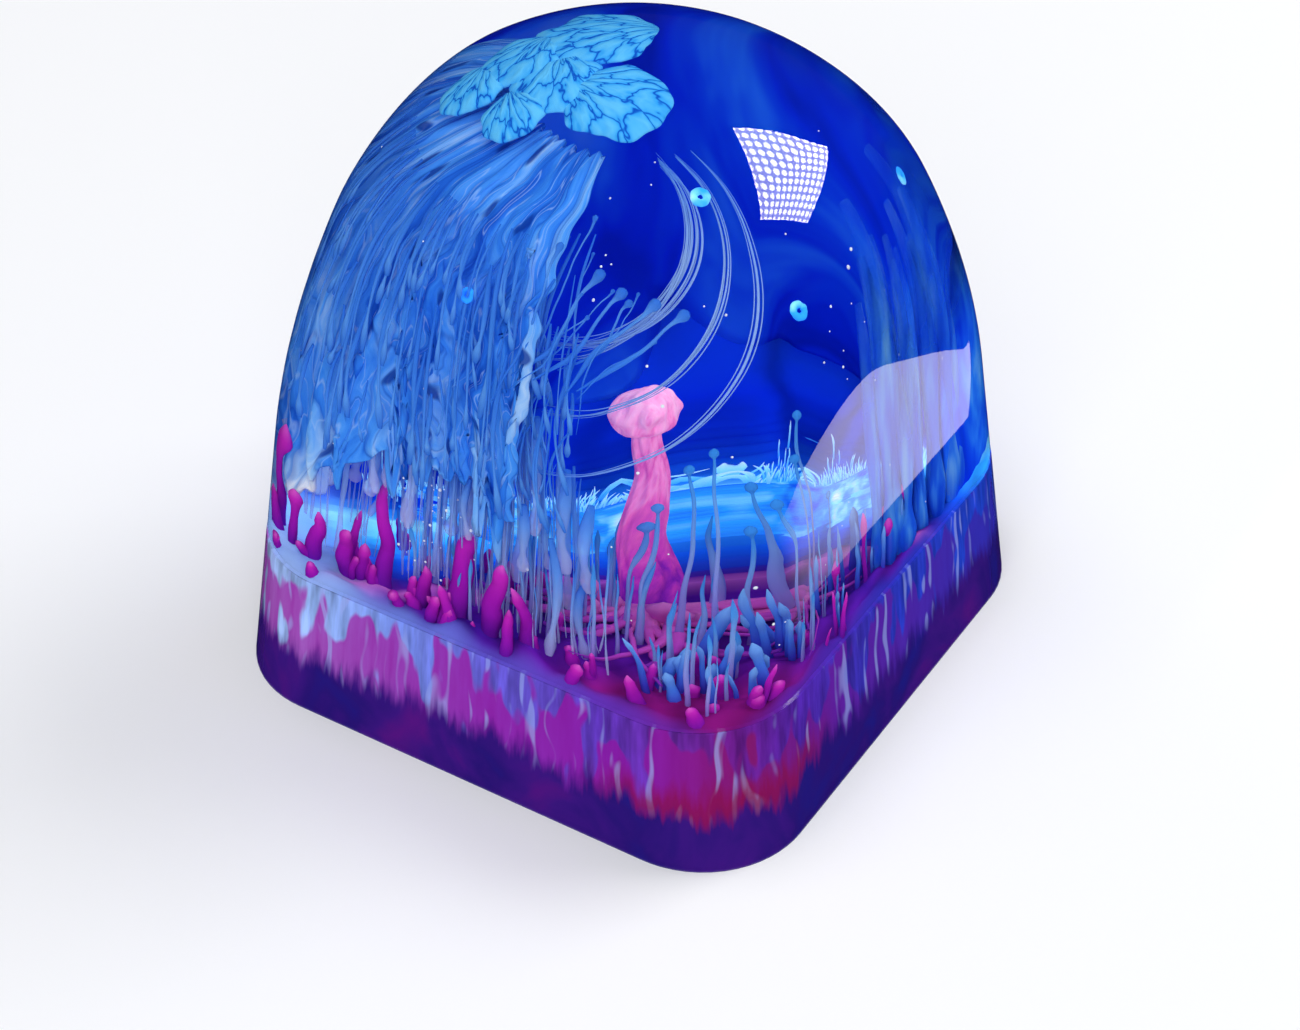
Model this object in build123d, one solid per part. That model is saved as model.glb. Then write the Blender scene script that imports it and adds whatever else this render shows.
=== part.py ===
from build123d import *
import math
import os

# Cast resin dome keycap for a single key, with ink blooms set in clear resin.
# Millimetres, +Z up, origin at the centre of the skirt's lower edge.
# The face at -Y is the front face, towards the typist.

# Outer form
cap_width = 18.0            # skirt, outside, square
cap_height = 18.9           # skirt edge to the top of the crown
wall_draft = 6.2            # degrees, each wall leans in
corner_radius = 3.2         # upright corners
crown_radius = 9.75         # round top of the dome
crown_lean = 31.0           # degrees from upright, where the crown runs on down the corners
shoulder_radius = 2.5       # blend between the walls and the crown

# Underside
skirt_wall = 1.5            # at the skirt's lower edge
cavity_depth = 3.8
cavity_draft = 2.0          # degrees
cavity_corner_radius = 1.6
cavity_ceiling_chamfer = 0.4
post_diameter = 5.5
post_recess = 0.4           # the post ends above the skirt edge
cross_length = 4.1          # socket for the switch stem
cross_width_x = 1.3         # arm that runs along X
cross_width_y = 1.17        # arm that runs along Y
cross_depth = 3.7
cross_lead_in = 0.2         # chamfer at the socket's mouth

# Pours
floor_height = 4.5          # top of the coloured pour, seen through the dome
skin_thickness = 0.8        # clear resin outside every bloom
frond_sides = 6             # flats round a frond or plume
thread_sides = 5            # flats round a thread, strand or tendril
frond_turn = 40.0           # degrees from one frond or plume to the next
frond_lengths = 3           # lengths in the series before it repeats
frond_end_share = 0.5       # flat end of a frond or plume, of its tip radius

# A place in plan that is marked as a share is a share of half the cap's width.

# Blue pour down the two rear walls, round to the end of the right-hand one
backing_thickness = 0.9
backing_start = 30.0        # degrees from +X, counter-clockwise
backing_end = 160.0
backing_drop = 6.7          # from the top of the crown to the top of the pour

# Swirl of turquoise across the floor
swirl_radius_share = 1.0    # of the middle line of the band
swirl_width = 2.8
swirl_crest = 1.2           # flat top of the band
swirl_height = 0.6
swirl_centre_share = (-0.6, 0.91)
swirl_start = -88.0         # degrees round the swirl's centre
swirl_end = -24.0

# Pleated veil that follows the inside of the dome at the left, from under the blooms down to its hem
veil_start = 167.0          # clear of the blue pour
veil_end = 278.0
veil_pleats = 9
veil_pleat_depth = 0.5
veil_thickness = 0.6
veil_steps = 5              # bands from the top down to the hem
veil_depth = 1.0            # under the dome's skin
veil_top_depth = 1.8        # the same at the top, which passes under the blooms
veil_drop = 2.5             # from the top of the crown to the top of the veil
veil_hem_height = 9.2       # over the fronds
veil_hem_start = 200.0      # direction in which the hem leaves the floor
veil_hem_end = 226.0        # direction from which it keeps its full height

# Strands that hang behind the hem down to the floor
hanging_count = 10
hanging_start = 244.0
hanging_end = 292.0
hanging_depth = 2.8         # behind the veil and the fronds
hanging_radius = 0.12
hanging_tip_share = 0.6     # of the radius, at the upper end
hanging_height = 5.6        # the shortest, over the floor
hanging_step = 1.0
hanging_sway = 2.0          # degrees, half-way up

# Tendrils that curl from under the blooms round to the edge of the veil
tendril_count = 3
tendril_radius = 0.07
tendril_top = (316.0, 2.4, 2.0)        # direction, drop from the top of the crown, depth under the skin
tendril_middle = (314.0, 4.2, 2.2)
tendril_end = (283.0, 5.4, 2.0)
tendril_top_turn = 10.0     # degrees from one tendril to the next
tendril_middle_turn = 5.0
tendril_middle_step = 0.8   # each tendril hangs lower than the one before
tendril_end_step = 1.6
tendril_depth_step = -0.3   # and nearer the skin
tendril_spans = 8

# Sprigs with a drop at the tip, by the edge of the veil
sprig_count = 4
sprig_radius = 0.09
sprig_drop_radius = 0.17
sprig_foot = (282.0, 5.4, 1.25)
sprig_tip = (293.0, 3.4, 1.25)
sprig_foot_turn = 5.0       # degrees from one sprig to the next
sprig_tip_turn = 7.0
sprig_tip_step = 0.25       # each ends lower than the one before

# Scalloped blooms under the crown: place as shares, and radius
blooms_placed = (
    ((-0.19, 0.11), 1.5), ((0.03, -0.14), 1.35), ((-0.33, -0.06), 1.2),
    ((-0.17, -0.14), 1.15), ((-0.41, -0.19), 0.9), ((-0.22, -0.28), 0.85)
)
bloom_scallops = 6
bloom_hollow_share = 0.87   # of the radius, between two scallops
bloom_rim_share = 0.78      # flat top and underside, of the outline
bloom_thickness = 0.5
bloom_depth = 0.9           # under the crown's skin

# Column with a rounded head
stalk_share = (0.355, -0.29)
stalk_lean = 8.0            # degrees, towards -X
stalk_foot_radius = 0.7
stalk_neck_radius = 0.26
stalk_flare = 3             # power of the curve from the neck to the foot
stalk_head_radius = 0.64
stalk_sides = 10
stalk_steps = 5             # sections up the column, and again over the head
stalk_head_height = 6.0     # from the floor to the middle of the head

# Stubby fronds along the front wall
frond_count = 7
frond_inset = 2.0           # from the front wall's foot to the row
frond_left_inset = 3.2      # from the left-hand wall's foot to the first frond
frond_right_inset = 7.6     # from the right-hand wall's foot to the last frond
frond_radius = 0.42
frond_tip_radius = 0.28
frond_height = 1.9
frond_step = 0.6            # neighbours differ by this much in height
frond_lean = 5.0            # degrees, to one side and the other

# Plumes along the right-hand wall
plume_count = 4
plume_inset = 3.6           # from the right-hand wall's foot to the row
plume_first_share = -0.04   # of the first plume, along the wall
plume_last_share = 0.49
plume_radius = 0.34
plume_tip_radius = 0.2
plume_height = 2.4
plume_step = 0.6
plume_lean = 5.0

# Threads with beads at their tips
thread_count = 10
thread_start = -80.0        # degrees round the column
thread_end = 30.0
thread_spread = 1.2         # from the innermost thread out to the last
thread_radius = 0.08
thread_bead_radius = 0.2
thread_height = 3.6
thread_step = 0.9
thread_heights = 4          # lengths in the series before it repeats
golden_share = 0.618        # of the arc, from one thread to the next
thread_clearance = 0.5      # kept clear of the column
root_depth = 0.5            # fronds and threads start this far down in the floor

half_width = cap_width / 2


def cap_form(inset):
    # Leaning walls under a round crown, drawn in all round by the inset.
    width = cap_width - 2 * inset
    walls = extrude(Rectangle(width, width), cap_height, taper=wall_draft)
    upright = [edge for edge in walls.edges() if edge.bounding_box().size.Z > cap_height / 2]
    walls = fillet(upright, corner_radius)
    middle = cap_height - crown_radius
    radius = crown_radius - inset
    arc = CenterArc((0, middle), radius, crown_lean, 90 - crown_lean)
    run_down = (arc @ 0).Y / math.cos(math.radians(crown_lean))
    slope = PolarLine(arc @ 0, run_down, crown_lean - 90)
    base_line = Line(slope @ 1, (0, 0))
    axis_line = Line((0, 0), arc @ 1)
    return walls & revolve(Plane.XZ * make_face([arc, slope, base_line, axis_line]), Axis.Z)


def outer_form():
    form = cap_form(0)
    crown_faces = [f for f in form.faces() if f.geom_type in (GeomType.SPHERE, GeomType.CONE)]
    wall_faces = [f for f in form.faces() if f.geom_type in (GeomType.PLANE, GeomType.CYLINDER)]
    crown_edges = [edge for face in crown_faces for edge in face.edges()]
    shoulder = [edge for face in wall_faces for edge in face.edges() if edge in crown_edges]
    return fillet(shoulder, shoulder_radius)


def faceted(rings, flat=True):
    # Closed solid between rings of corner points. Sides that aren't flat are split into triangles.
    outlines = [rings[0], rings[-1]]
    for lower, upper in zip(rings, rings[1:]):
        for i in range(len(lower)):
            side = [lower[i - 1], lower[i], upper[i], upper[i - 1]]
            outlines += [side] if flat else halves(side)
    return solid_inside(outlines)


def halves(side):
    a, b, c, d = side
    return [[a, b, c], [a, c, d]]


def solid_inside(outlines):
    return Solid(Shell([Face(Wire.make_polygon(points)) for points in outlines]))


def under_skin(direction, height, depth):
    # Point at some depth inside the leaning walls and the crown.
    angle = math.radians(direction)
    cosine, sine = abs(math.cos(angle)), abs(math.sin(angle))
    half = half_width - depth - height * math.tan(math.radians(wall_draft))
    flat = half - corner_radius
    wall = half / max(cosine, sine)
    if wall * min(cosine, sine) > flat:
        reach = flat * (cosine + sine)
        wall = reach + math.sqrt(reach**2 - 2 * flat**2 + corner_radius**2)
    lean = math.radians(crown_lean)
    ball = crown_radius - depth
    rise = height - (cap_height - crown_radius)
    slope = ball * math.cos(lean) + (ball * math.sin(lean) - rise) * math.tan(lean)
    crown = slope if rise < ball * math.sin(lean) else math.sqrt(ball**2 - rise**2)
    radius = min(wall, crown)
    return Vector(radius * math.cos(angle), radius * math.sin(angle), height)


def above(height):
    # Everything above a level, wide and tall enough to take in the whole cap.
    align = (Align.CENTER, Align.CENTER, Align.MIN)
    return Pos(0, 0, height) * Box(2 * cap_width, 2 * cap_width, 2 * cap_height, align=align)


def placed(share):
    return tuple(half_width * part for part in share)


def sector(start, end):
    # Upright wedge round the axis between two directions.
    reach = 2 * cap_width
    arc = CenterArc((0, 0), reach, start, end - start)
    wedge = make_face([arc, Line((0, 0), arc @ 0), Line(arc @ 1, (0, 0))])
    return extrude(wedge, cap_height)


def make_base(form):
    # Skirt, floor and switch post, cast as one coloured pour.
    base = form - above(floor_height)
    cavity_width = cap_width - 2 * skirt_wall
    mouth = RectangleRounded(cavity_width, cavity_width, cavity_corner_radius)
    cavity = extrude(mouth, cavity_depth, taper=cavity_draft)
    cavity = chamfer(cavity.faces().sort_by(Axis.Z)[-1].edges(), cavity_ceiling_chamfer)
    upward = (Align.CENTER, Align.CENTER, Align.MIN)
    post = Pos(0, 0, post_recess) * Cylinder(post_diameter / 2, cavity_depth - post_recess, align=upward)
    cross = Rectangle(cross_length, cross_width_x) + Rectangle(cross_width_y, cross_length)
    socket = extrude(Pos(0, 0, post_recess) * cross, cross_depth)
    mouth_of_socket = Pos(0, 0, post_recess) * offset(cross, cross_lead_in, kind=Kind.INTERSECTION)
    lead_in = loft([mouth_of_socket, Pos(0, 0, post_recess + cross_lead_in) * cross], ruled=True)
    return base - (cavity - post) - socket - lead_in


def make_backing():
    shell = cap_form(skin_thickness) - cap_form(skin_thickness + backing_thickness)
    return (shell & sector(backing_start, backing_end)) - above(cap_height - backing_drop)


def make_swirl():
    # A low flat-topped band laid in an arc over the floor.
    section = Polygon(
        (-swirl_width / 2, 0), (swirl_width / 2, 0),
        (swirl_crest / 2, swirl_height), (-swirl_crest / 2, swirl_height), align=None
    )
    band = revolve(Plane.XZ * Pos(half_width * swirl_radius_share, 0) * section, Axis.Z, swirl_end - swirl_start)
    return Pos(*placed(swirl_centre_share), floor_height) * Rot(0, 0, swirl_start) * band


def make_veil():
    # A sheet in zigzag pleats, pushed in from the dome's skin towards the middle of the crown.
    folds = 2 * veil_pleats
    middle = Vector(0, 0, cap_height - crown_radius)
    top = cap_height - veil_drop

    def place(fold, step, push):
        direction = veil_start + (veil_end - veil_start) * fold / folds
        rise = (direction - veil_hem_start) / (veil_hem_end - veil_hem_start)
        foot = floor_height - root_depth
        hem = foot + (veil_hem_height - foot) * min(max(rise, 0), 1)
        share = step / veil_steps
        depth = veil_top_depth + (veil_depth - veil_top_depth) * min(2 * share, 1)
        point = under_skin(direction, top + (hem - top) * share, depth)
        return point + (middle - point).normalized() * (push + (veil_pleat_depth if fold % 2 else 0))

    outer = [[place(fold, step, 0) for fold in range(folds + 1)] for step in range(veil_steps + 1)]
    inner = [[place(fold, step, veil_thickness) for fold in range(folds + 1)] for step in range(veil_steps + 1)]
    outlines = []
    for step in range(veil_steps):
        for fold in range(folds):
            for face in (outer, inner):
                row, below = face[step], face[step + 1]
                outlines += halves([row[fold], row[fold + 1], below[fold + 1], below[fold]])
        for fold in (0, folds):
            outlines += halves([outer[step][fold], inner[step][fold], inner[step + 1][fold], outer[step + 1][fold]])
    for step in (0, veil_steps):
        for fold in range(folds):
            out, back = outer[step], inner[step]
            outlines += halves([out[fold], out[fold + 1], back[fold + 1], back[fold]])
    return solid_inside(outlines)


def tube(points, radii):
    # Thin many-sided strand through points, each with its own radius.
    normal = Vector(1, 0, 0)
    rings = []
    for i, (point, radius) in enumerate(zip(points, radii)):
        along = (points[min(i + 1, len(points) - 1)] - points[max(i - 1, 0)]).normalized()
        normal = (normal - along * normal.dot(along)).normalized()
        across = along.cross(normal)
        turns = [2 * math.pi * side / thread_sides for side in range(thread_sides)]
        rings.append([point + (normal * math.cos(turn) + across * math.sin(turn)) * radius for turn in turns])
    return faceted(rings, flat=False)


def make_hanging():
    strands = []
    foot = floor_height - root_depth
    for i in range(hanging_count):
        direction = hanging_start + (hanging_end - hanging_start) * i / (hanging_count - 1)
        tall = hanging_height + hanging_step * (i % frond_lengths)
        bend = under_skin(direction + hanging_sway, floor_height + tall / 2, hanging_depth)
        tip = under_skin(direction, floor_height + tall, hanging_depth)
        points = [under_skin(direction, foot, hanging_depth), bend, tip]
        strands.append(tube(points, [hanging_radius, hanging_radius, hanging_radius * hanging_tip_share]))
    return strands


def moved(place, turn, drop, depth_change=0):
    # Point given by its direction, drop from the top of the crown and depth, each of them changed.
    direction, first_drop, depth = place
    return under_skin(direction + turn, cap_height - first_drop - drop, depth + depth_change)


def make_tendrils():
    tendrils = []
    for i in range(tendril_count):
        start = moved(tendril_top, tendril_top_turn * i, 0)
        middle = moved(tendril_middle, tendril_middle_turn * i, tendril_middle_step * i, tendril_depth_step * i)
        end = moved(tendril_end, 0, tendril_end_step * i, tendril_depth_step * i)
        curl = ThreePointArc(start, middle, end)
        points = [curl @ (step / tendril_spans) for step in range(tendril_spans + 1)]
        tendrils.append(tube(points, [tendril_radius] * len(points)))
    return tendrils


def make_sprigs():
    sprigs = []
    for i in range(sprig_count):
        foot = moved(sprig_foot, sprig_foot_turn * i, 0)
        tip = moved(sprig_tip, sprig_tip_turn * i, sprig_tip_step * i)
        along = (tip - foot).normalized()
        points = [foot, tip - along * sprig_drop_radius, tip, tip + along * sprig_drop_radius]
        sprigs.append(tube(points, [sprig_radius, sprig_radius, sprig_drop_radius, sprig_radius]))
    return sprigs


def make_blooms():
    # Scalloped discs that lie along the crown, and overlap.
    ball = crown_radius - bloom_depth
    blooms = []
    for share, radius in blooms_placed:
        x, y = placed(share)
        spot = Vector(x, y, math.sqrt(ball**2 - x**2 - y**2))

        def ring(size, height):
            points = []
            for i in range(2 * bloom_scallops):
                turn = math.pi * i / bloom_scallops
                reach = size * radius * (bloom_hollow_share if i % 2 else 1)
                points.append((reach * math.cos(turn), reach * math.sin(turn), height))
            return points

        disc = faceted([
            ring(bloom_rim_share, -bloom_thickness), ring(1, -bloom_thickness / 2), ring(bloom_rim_share, 0)
        ])
        seat = Plane(origin=spot + Vector(0, 0, cap_height - crown_radius), z_dir=spot)
        blooms.append(seat.location * disc)
    return Part() + blooms


def spindle(place, sections, lean, turn, sides):
    # Many-sided stem through sections that give a radius at a height above the floor.
    rings = []
    for radius, height in sections:
        angles = [2 * math.pi * i / sides for i in range(sides)]
        rings.append([(radius * math.cos(a), radius * math.sin(a), height) for a in angles])
    return Pos(*place, floor_height) * Rot(0, 0, turn) * Rot(0, lean, 0) * faceted(rings)


def make_stalk():
    # A flared column under a round head, leaning from its foot.
    neck = stalk_head_height - stalk_head_radius
    sections = [(stalk_foot_radius, -root_depth)]
    for step in range(1, stalk_steps + 1):
        share = step / stalk_steps
        radius = stalk_neck_radius + (stalk_foot_radius - stalk_neck_radius) * (1 - share) ** stalk_flare
        sections.append((radius, neck * share))
    for step in range(1, stalk_steps):
        angle = math.pi * step / stalk_steps
        height = stalk_head_height - stalk_head_radius * math.cos(angle)
        sections.append((stalk_head_radius * math.sin(angle), height))
    return spindle(placed(stalk_share), sections, -stalk_lean, 0, stalk_sides)


def row_of_fronds(count, first, last, radius, tip_radius, height, step, lean):
    fronds = []
    for i in range(count):
        along = i / (count - 1)
        place = [a + (b - a) * along for a, b in zip(first, last)]
        tall = height + step * (i % frond_lengths)
        end_radius = tip_radius * frond_end_share
        sections = [(radius, -root_depth), (tip_radius, tall - tip_radius), (end_radius, tall)]
        fronds.append(spindle(place, sections, lean if i % 2 else -lean, frond_turn * i, frond_sides))
    return Part() + fronds


def make_threads():
    # Beaded threads of a few lengths, spread over the floor round one side of the column.
    threads = []
    column = placed(stalk_share)
    nearest = stalk_foot_radius + thread_bead_radius + thread_clearance
    for i in range(thread_count):
        turn = math.radians(thread_start + (thread_end - thread_start) * (i * golden_share % 1))
        out = nearest + thread_spread * i / (thread_count - 1)
        place = (column[0] + out * math.cos(turn), column[1] + out * math.sin(turn))
        tall = thread_height + thread_step * (i % thread_heights)
        sections = [
            (thread_radius, -root_depth), (thread_radius, tall - thread_bead_radius),
            (thread_bead_radius, tall), (thread_radius, tall + thread_bead_radius)
        ]
        threads.append(spindle(place, sections, 0, 0, thread_sides))
    return Part() + threads


form = outer_form()
room = cap_form(skin_thickness) & above(floor_height)
frond_first = (frond_left_inset - half_width, frond_inset - half_width)
frond_last = (half_width - frond_right_inset, frond_inset - half_width)
plume_first = (half_width - plume_inset, half_width * plume_first_share)
plume_last = (half_width - plume_inset, half_width * plume_last_share)

# The blooms stand clear of one another, and the dome is cast round them.
blooms = {
    "pink_stalk": make_stalk(),
    "ball_threads": make_threads(),
    "magenta_fronds": row_of_fronds(
        frond_count, frond_first, frond_last, frond_radius, frond_tip_radius,
        frond_height, frond_step, frond_lean
    ),
    "blue_plumes": row_of_fronds(
        plume_count, plume_first, plume_last, plume_radius, plume_tip_radius,
        plume_height, plume_step, plume_lean
    ),
    "pale_veil": Part() + [make_veil(), *make_hanging(), *make_tendrils(), *make_sprigs()],
    "cap_blooms": make_blooms(),
    "blue_backing": make_backing(),
    "turquoise_swirl": make_swirl(),
}

nodes = {"base_pour": make_base(form)}
clear_dome = form & above(floor_height)
for name, bloom in blooms.items():
    nodes[name] = bloom & room
    clear_dome = clear_dome - nodes[name]
nodes["clear_dome"] = clear_dome

os.makedirs("parts", exist_ok=True)
for name, solid in nodes.items():
    export_step(solid, f"parts/{name}.step")
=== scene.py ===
import bpy
import math
import random
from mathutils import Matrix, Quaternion, Vector, noise


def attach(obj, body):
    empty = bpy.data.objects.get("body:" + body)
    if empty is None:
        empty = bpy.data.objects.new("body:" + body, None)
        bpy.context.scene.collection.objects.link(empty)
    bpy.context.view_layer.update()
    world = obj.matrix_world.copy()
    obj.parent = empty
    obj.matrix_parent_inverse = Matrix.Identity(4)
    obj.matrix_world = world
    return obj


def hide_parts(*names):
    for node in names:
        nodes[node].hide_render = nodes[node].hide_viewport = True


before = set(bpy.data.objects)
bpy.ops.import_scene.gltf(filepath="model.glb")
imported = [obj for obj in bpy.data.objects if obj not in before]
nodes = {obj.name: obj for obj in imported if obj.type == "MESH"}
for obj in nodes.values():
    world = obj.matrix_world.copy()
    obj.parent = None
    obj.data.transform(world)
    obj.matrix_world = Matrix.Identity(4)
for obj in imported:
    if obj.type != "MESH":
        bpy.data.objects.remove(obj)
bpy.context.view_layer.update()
scene = bpy.context.scene
mm = 0.001
print("frame loaded:", len(nodes), "solids")


def linear(code):
    parts = [int(code[i:i + 2], 16) / 255 for i in (1, 3, 5)]
    return tuple(p / 12.92 if p <= 0.04045 else ((p + 0.055) / 1.055) ** 2.4 for p in parts) + (1.0,)


def addNode(tree, kind, inputs=None, stops=None, **settings):
    # An input is a value, or what is linked to it: a socket, or a node by its first output in use
    node = tree.nodes.new(kind)
    for name, value in settings.items():
        setattr(node, name, value)
    for name, value in (inputs or {}).items():
        if isinstance(value, bpy.types.Node):
            value = next(output for output in value.outputs if output.enabled)
        if isinstance(value, bpy.types.NodeSocket):
            tree.links.new(value, node.inputs[name])
        else:
            node.inputs[name].default_value = value
    if stops:  # of a colour ramp
        elements = node.color_ramp.elements
        while len(elements) < len(stops):
            elements.new(0.5)
        for element, (place, code) in zip(elements, stops):
            element.position = place
            element.color = linear(code)
    return node


def newMaterial(name):
    material = bpy.data.materials.new(name)
    material.use_nodes = True
    material.node_tree.nodes.clear()
    return material, material.node_tree


def finishMaterial(tree, kind, inputs):
    addNode(tree, "ShaderNodeOutputMaterial", {"Surface": addNode(tree, kind, inputs)})


# Outer form of the dome, in millimetres, the same as the solid's
dome = {
    "halfWidth": 9.0,
    "draft": math.radians(6.2),
    "cornerRadius": 3.2,
    "height": 18.9,
    "crownRadius": 9.75,
    "crownLean": math.radians(31.0),
    "blend": 2.0,  # soft join of walls and crown
    "floor": 4.5,
    "lip": 0.02,  # the clear resin reaches this far into the pour under it
    "around": 192,
    "rings": 96,
}
crownMiddle = Vector((0, 0, dome["height"] - dome["crownRadius"]))


def domeRadius(angle, z, inset=0.0):
    c, s = abs(math.cos(angle)), abs(math.sin(angle))
    half = dome["halfWidth"] - inset - math.tan(dome["draft"]) * z
    flat = half - dome["cornerRadius"]
    wall = half / max(c, s)
    if wall * c > flat and wall * s > flat:
        reach = flat * (c + s)
        wall = reach + math.sqrt(max(reach ** 2 - 2 * flat ** 2 + dome["cornerRadius"] ** 2, 0.0))
    ball = dome["crownRadius"] - inset
    middle = dome["height"] - dome["crownRadius"]
    turn = middle + ball * math.sin(dome["crownLean"])
    if z > turn:
        crown = math.sqrt(max(ball ** 2 - (z - middle) ** 2, 0.0))
    else:
        crown = ball * math.cos(dome["crownLean"]) + (turn - z) * math.tan(dome["crownLean"])
    near = max(dome["blend"] - abs(wall - crown), 0.0)
    return max(min(wall, crown) - near ** 2 / (4 * dome["blend"]), 0.0)


def polar(r, angle):
    return r * math.cos(angle), r * math.sin(angle)


def between(start, end, share):
    return start + (end - start) * share


def draws(dice, field, *names):
    # One random value from each of the named ranges
    return [dice.uniform(*field[name]) for name in names]


def underSkin(degrees, z, depth):
    angle = math.radians(degrees)
    return Vector(polar(domeRadius(angle, z, depth), angle) + (z,))


def arcThrough(a, b, c, steps):
    # Points along the circle's arc from a through b to c
    toB, toC = b - a, c - a
    axis = toB.cross(toC)
    offset = axis.cross(toB) * toC.length_squared + toC.cross(axis) * toB.length_squared
    centre = a + offset / (2 * axis.length_squared)
    whole = (a - centre).angle(b - centre) + (b - centre).angle(c - centre)
    return [centre + Quaternion(axis, whole * k / steps) @ (a - centre) for k in range(steps + 1)]


def wave(x, y, z=0.0):
    return noise.noise(Vector((x, y, z)))


def ringFaces(first, around, rows, inward=False):
    # Quads between rows of points that each run once round
    faces = []
    for low in range(first, first + (rows - 1) * around, around):
        for i in range(around):
            k = (i + 1) % around
            face = (low + i, low + k, low + around + k, low + around + i)
            faces.append((face[0], face[3], face[2], face[1]) if inward else face)
    return faces


def keepPiece(name, mesh, replaced=None):
    mesh.name = name
    piece = bpy.data.objects.new(name, mesh)
    scene.collection.objects.link(piece)
    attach(piece, "root")
    if replaced:
        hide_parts(replaced)
    return piece


def meshPiece(name, points, faces, material, replaced=None):
    mesh = bpy.data.meshes.new(name)
    mesh.from_pydata([tuple(v * mm for v in p) for p in points], [], faces)
    mesh.materials.append(material)
    for polygon in mesh.polygons:
        polygon.use_smooth = True
    mesh.update()
    return keepPiece(name, mesh, replaced)


def addPattern(piece, name, places):
    # Pattern coordinates from one pair of values per point
    layer = piece.data.uv_layers.new(name=name)
    for loop in piece.data.loops:
        layer.data[loop.index].uv = places[loop.vertex_index]


# Cast clear epoxy: water clear, a hard polished skin, bends what lies under it
def makeClearResin():
    material, tree = newMaterial("clearEpoxyResin")
    shell = addNode(tree, "ShaderNodeBsdfPrincipled", {
        "Base Color": linear("#FAFCFF"), "Roughness": 0.01, "IOR": 1.5, "Transmission Weight": 1.0,
    })
    path = addNode(tree, "ShaderNodeLightPath").outputs
    lampRays = addNode(tree, "ShaderNodeMath", {0: path["Is Shadow Ray"], 1: path["Is Diffuse Ray"]},
                       operation="MAXIMUM")
    through = addNode(tree, "ShaderNodeBsdfTransparent")  # lamps reach the ink straight through the resin
    finishMaterial(tree, "ShaderNodeMixShader", {"Fac": lampRays, 1: shell, 2: through})
    return material


def makeDome():
    around, rings = dome["around"], dome["rings"]
    low = dome["floor"] - dome["lip"]
    points = []
    for j in range(rings):
        z = between(low, dome["height"], 1 - (1 - j / rings) ** 2)
        for i in range(around):
            angle = math.tau * i / around
            r = domeRadius(angle, z) - (dome["lip"] if j == 0 else 0.0)  # the lip stays inside the pour
            points.append(polar(r, angle) + (z,))
    faces = ringFaces(0, around, rings)
    top = len(points)
    bottom = top + 1
    last = top - around
    points += [(0, 0, dome["height"]), (0, 0, low)]
    for i in range(around):
        k = (i + 1) % around
        faces += [(last + i, last + k, top), (k, i, bottom)]
    piece = meshPiece("clearDome", points, faces, makeClearResin(), "clear_dome")
    for polygon in piece.data.polygons:
        if polygon.vertices[-1] == bottom:
            polygon.use_smooth = False


makeDome()
print("dome made")

# Colours of the ink, shared by the pieces
ink = {
    "night": "#0830C6", "deepBlue": "#0A3CEC", "blue": "#1560F0", "skyBlue": "#5AA4F8",
    "turquoise": "#2FA6FF", "cyan": "#86E0FF", "crack": "#0F52C4",
    "violet": "#44199A", "purple": "#6A1FB0", "rose": "#E070DC",
}


def inkShader(tree, colour, cover=1.0, height=None, strength=0.3, distance=0.1, paintedGlow=0.0):
    # Pigment set in resin: no skin of its own, so no gloss, only colour, relief and how well it covers.
    # Its painted light is emission in the ink's own colour, standing in for the light that the dome gathers
    # on it, which the lamps' straight rays leave out.
    inputs = {"Base Color": colour, "Roughness": 0.9, "Specular IOR Level": 0.0, "Alpha": cover}
    if height:
        bump = {"Strength": strength, "Distance": distance * mm, "Height": height}
        inputs["Normal"] = addNode(tree, "ShaderNodeBump", bump)
    if paintedGlow:
        inputs["Emission Color"] = colour
        inputs["Emission Strength"] = paintedGlow
    finishMaterial(tree, "ShaderNodeBsdfPrincipled", inputs)


def strandInk(name, stops, cover=1.0, thinning=None, paintedGlow=0.0):
    # Ink whose colour, and where asked how well it covers, changes from a strand's start to its end
    material, tree = newMaterial(name)
    along = addNode(tree, "ShaderNodeAttribute", attribute_name="along").outputs["Fac"]
    colour = addNode(tree, "ShaderNodeValToRGB", {"Fac": along}, stops)
    if thinning:
        cover = addNode(tree, "ShaderNodeMapRange", {"Value": along, **thinning})
    inkShader(tree, colour, cover, paintedGlow=paintedGlow)
    return material


# What every tree of geometry nodes begins and ends with
def beginTree(name, inputs):
    group = bpy.data.node_groups.new(name, "GeometryNodeTree")
    for title, kind in (("Geometry", "Geometry"),) + inputs + (("Material", "Material"),):
        group.interface.new_socket(title, in_out="INPUT", socket_type="NodeSocket" + kind)
    group.interface.new_socket("Geometry", in_out="OUTPUT", socket_type="NodeSocketGeometry")
    return group, addNode(group, "NodeGroupInput").outputs


def endTree(group, geometry, material):
    real = addNode(group, "GeometryNodeRealizeInstances", {"Geometry": geometry})
    smooth = addNode(group, "GeometryNodeSetShadeSmooth", {"Geometry": real, "Shade Smooth": True})
    painted = addNode(group, "GeometryNodeSetMaterial", {"Geometry": smooth, "Material": material})
    addNode(group, "NodeGroupOutput", {"Geometry": painted})


def grownPiece(name, seeds, group, inputs, replaced=None):
    # What a tree of geometry nodes makes of curves or points, kept as a plain mesh
    holder = bpy.data.objects.new(name + "Seeds", seeds)
    scene.collection.objects.link(holder)
    modifier = holder.modifiers.new("grown", "NODES")
    modifier.node_group = group
    for socket in group.interface.items_tree:
        if socket.in_out == "INPUT" and socket.name in inputs:
            modifier[socket.identifier] = inputs[socket.name]
    graph = bpy.context.evaluated_depsgraph_get()
    graph.update()
    mesh = bpy.data.meshes.new_from_object(holder.evaluated_get(graph))
    bpy.data.objects.remove(holder)
    print(name, len(mesh.polygons), "faces")
    return keepPiece(name, mesh, replaced)


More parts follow.
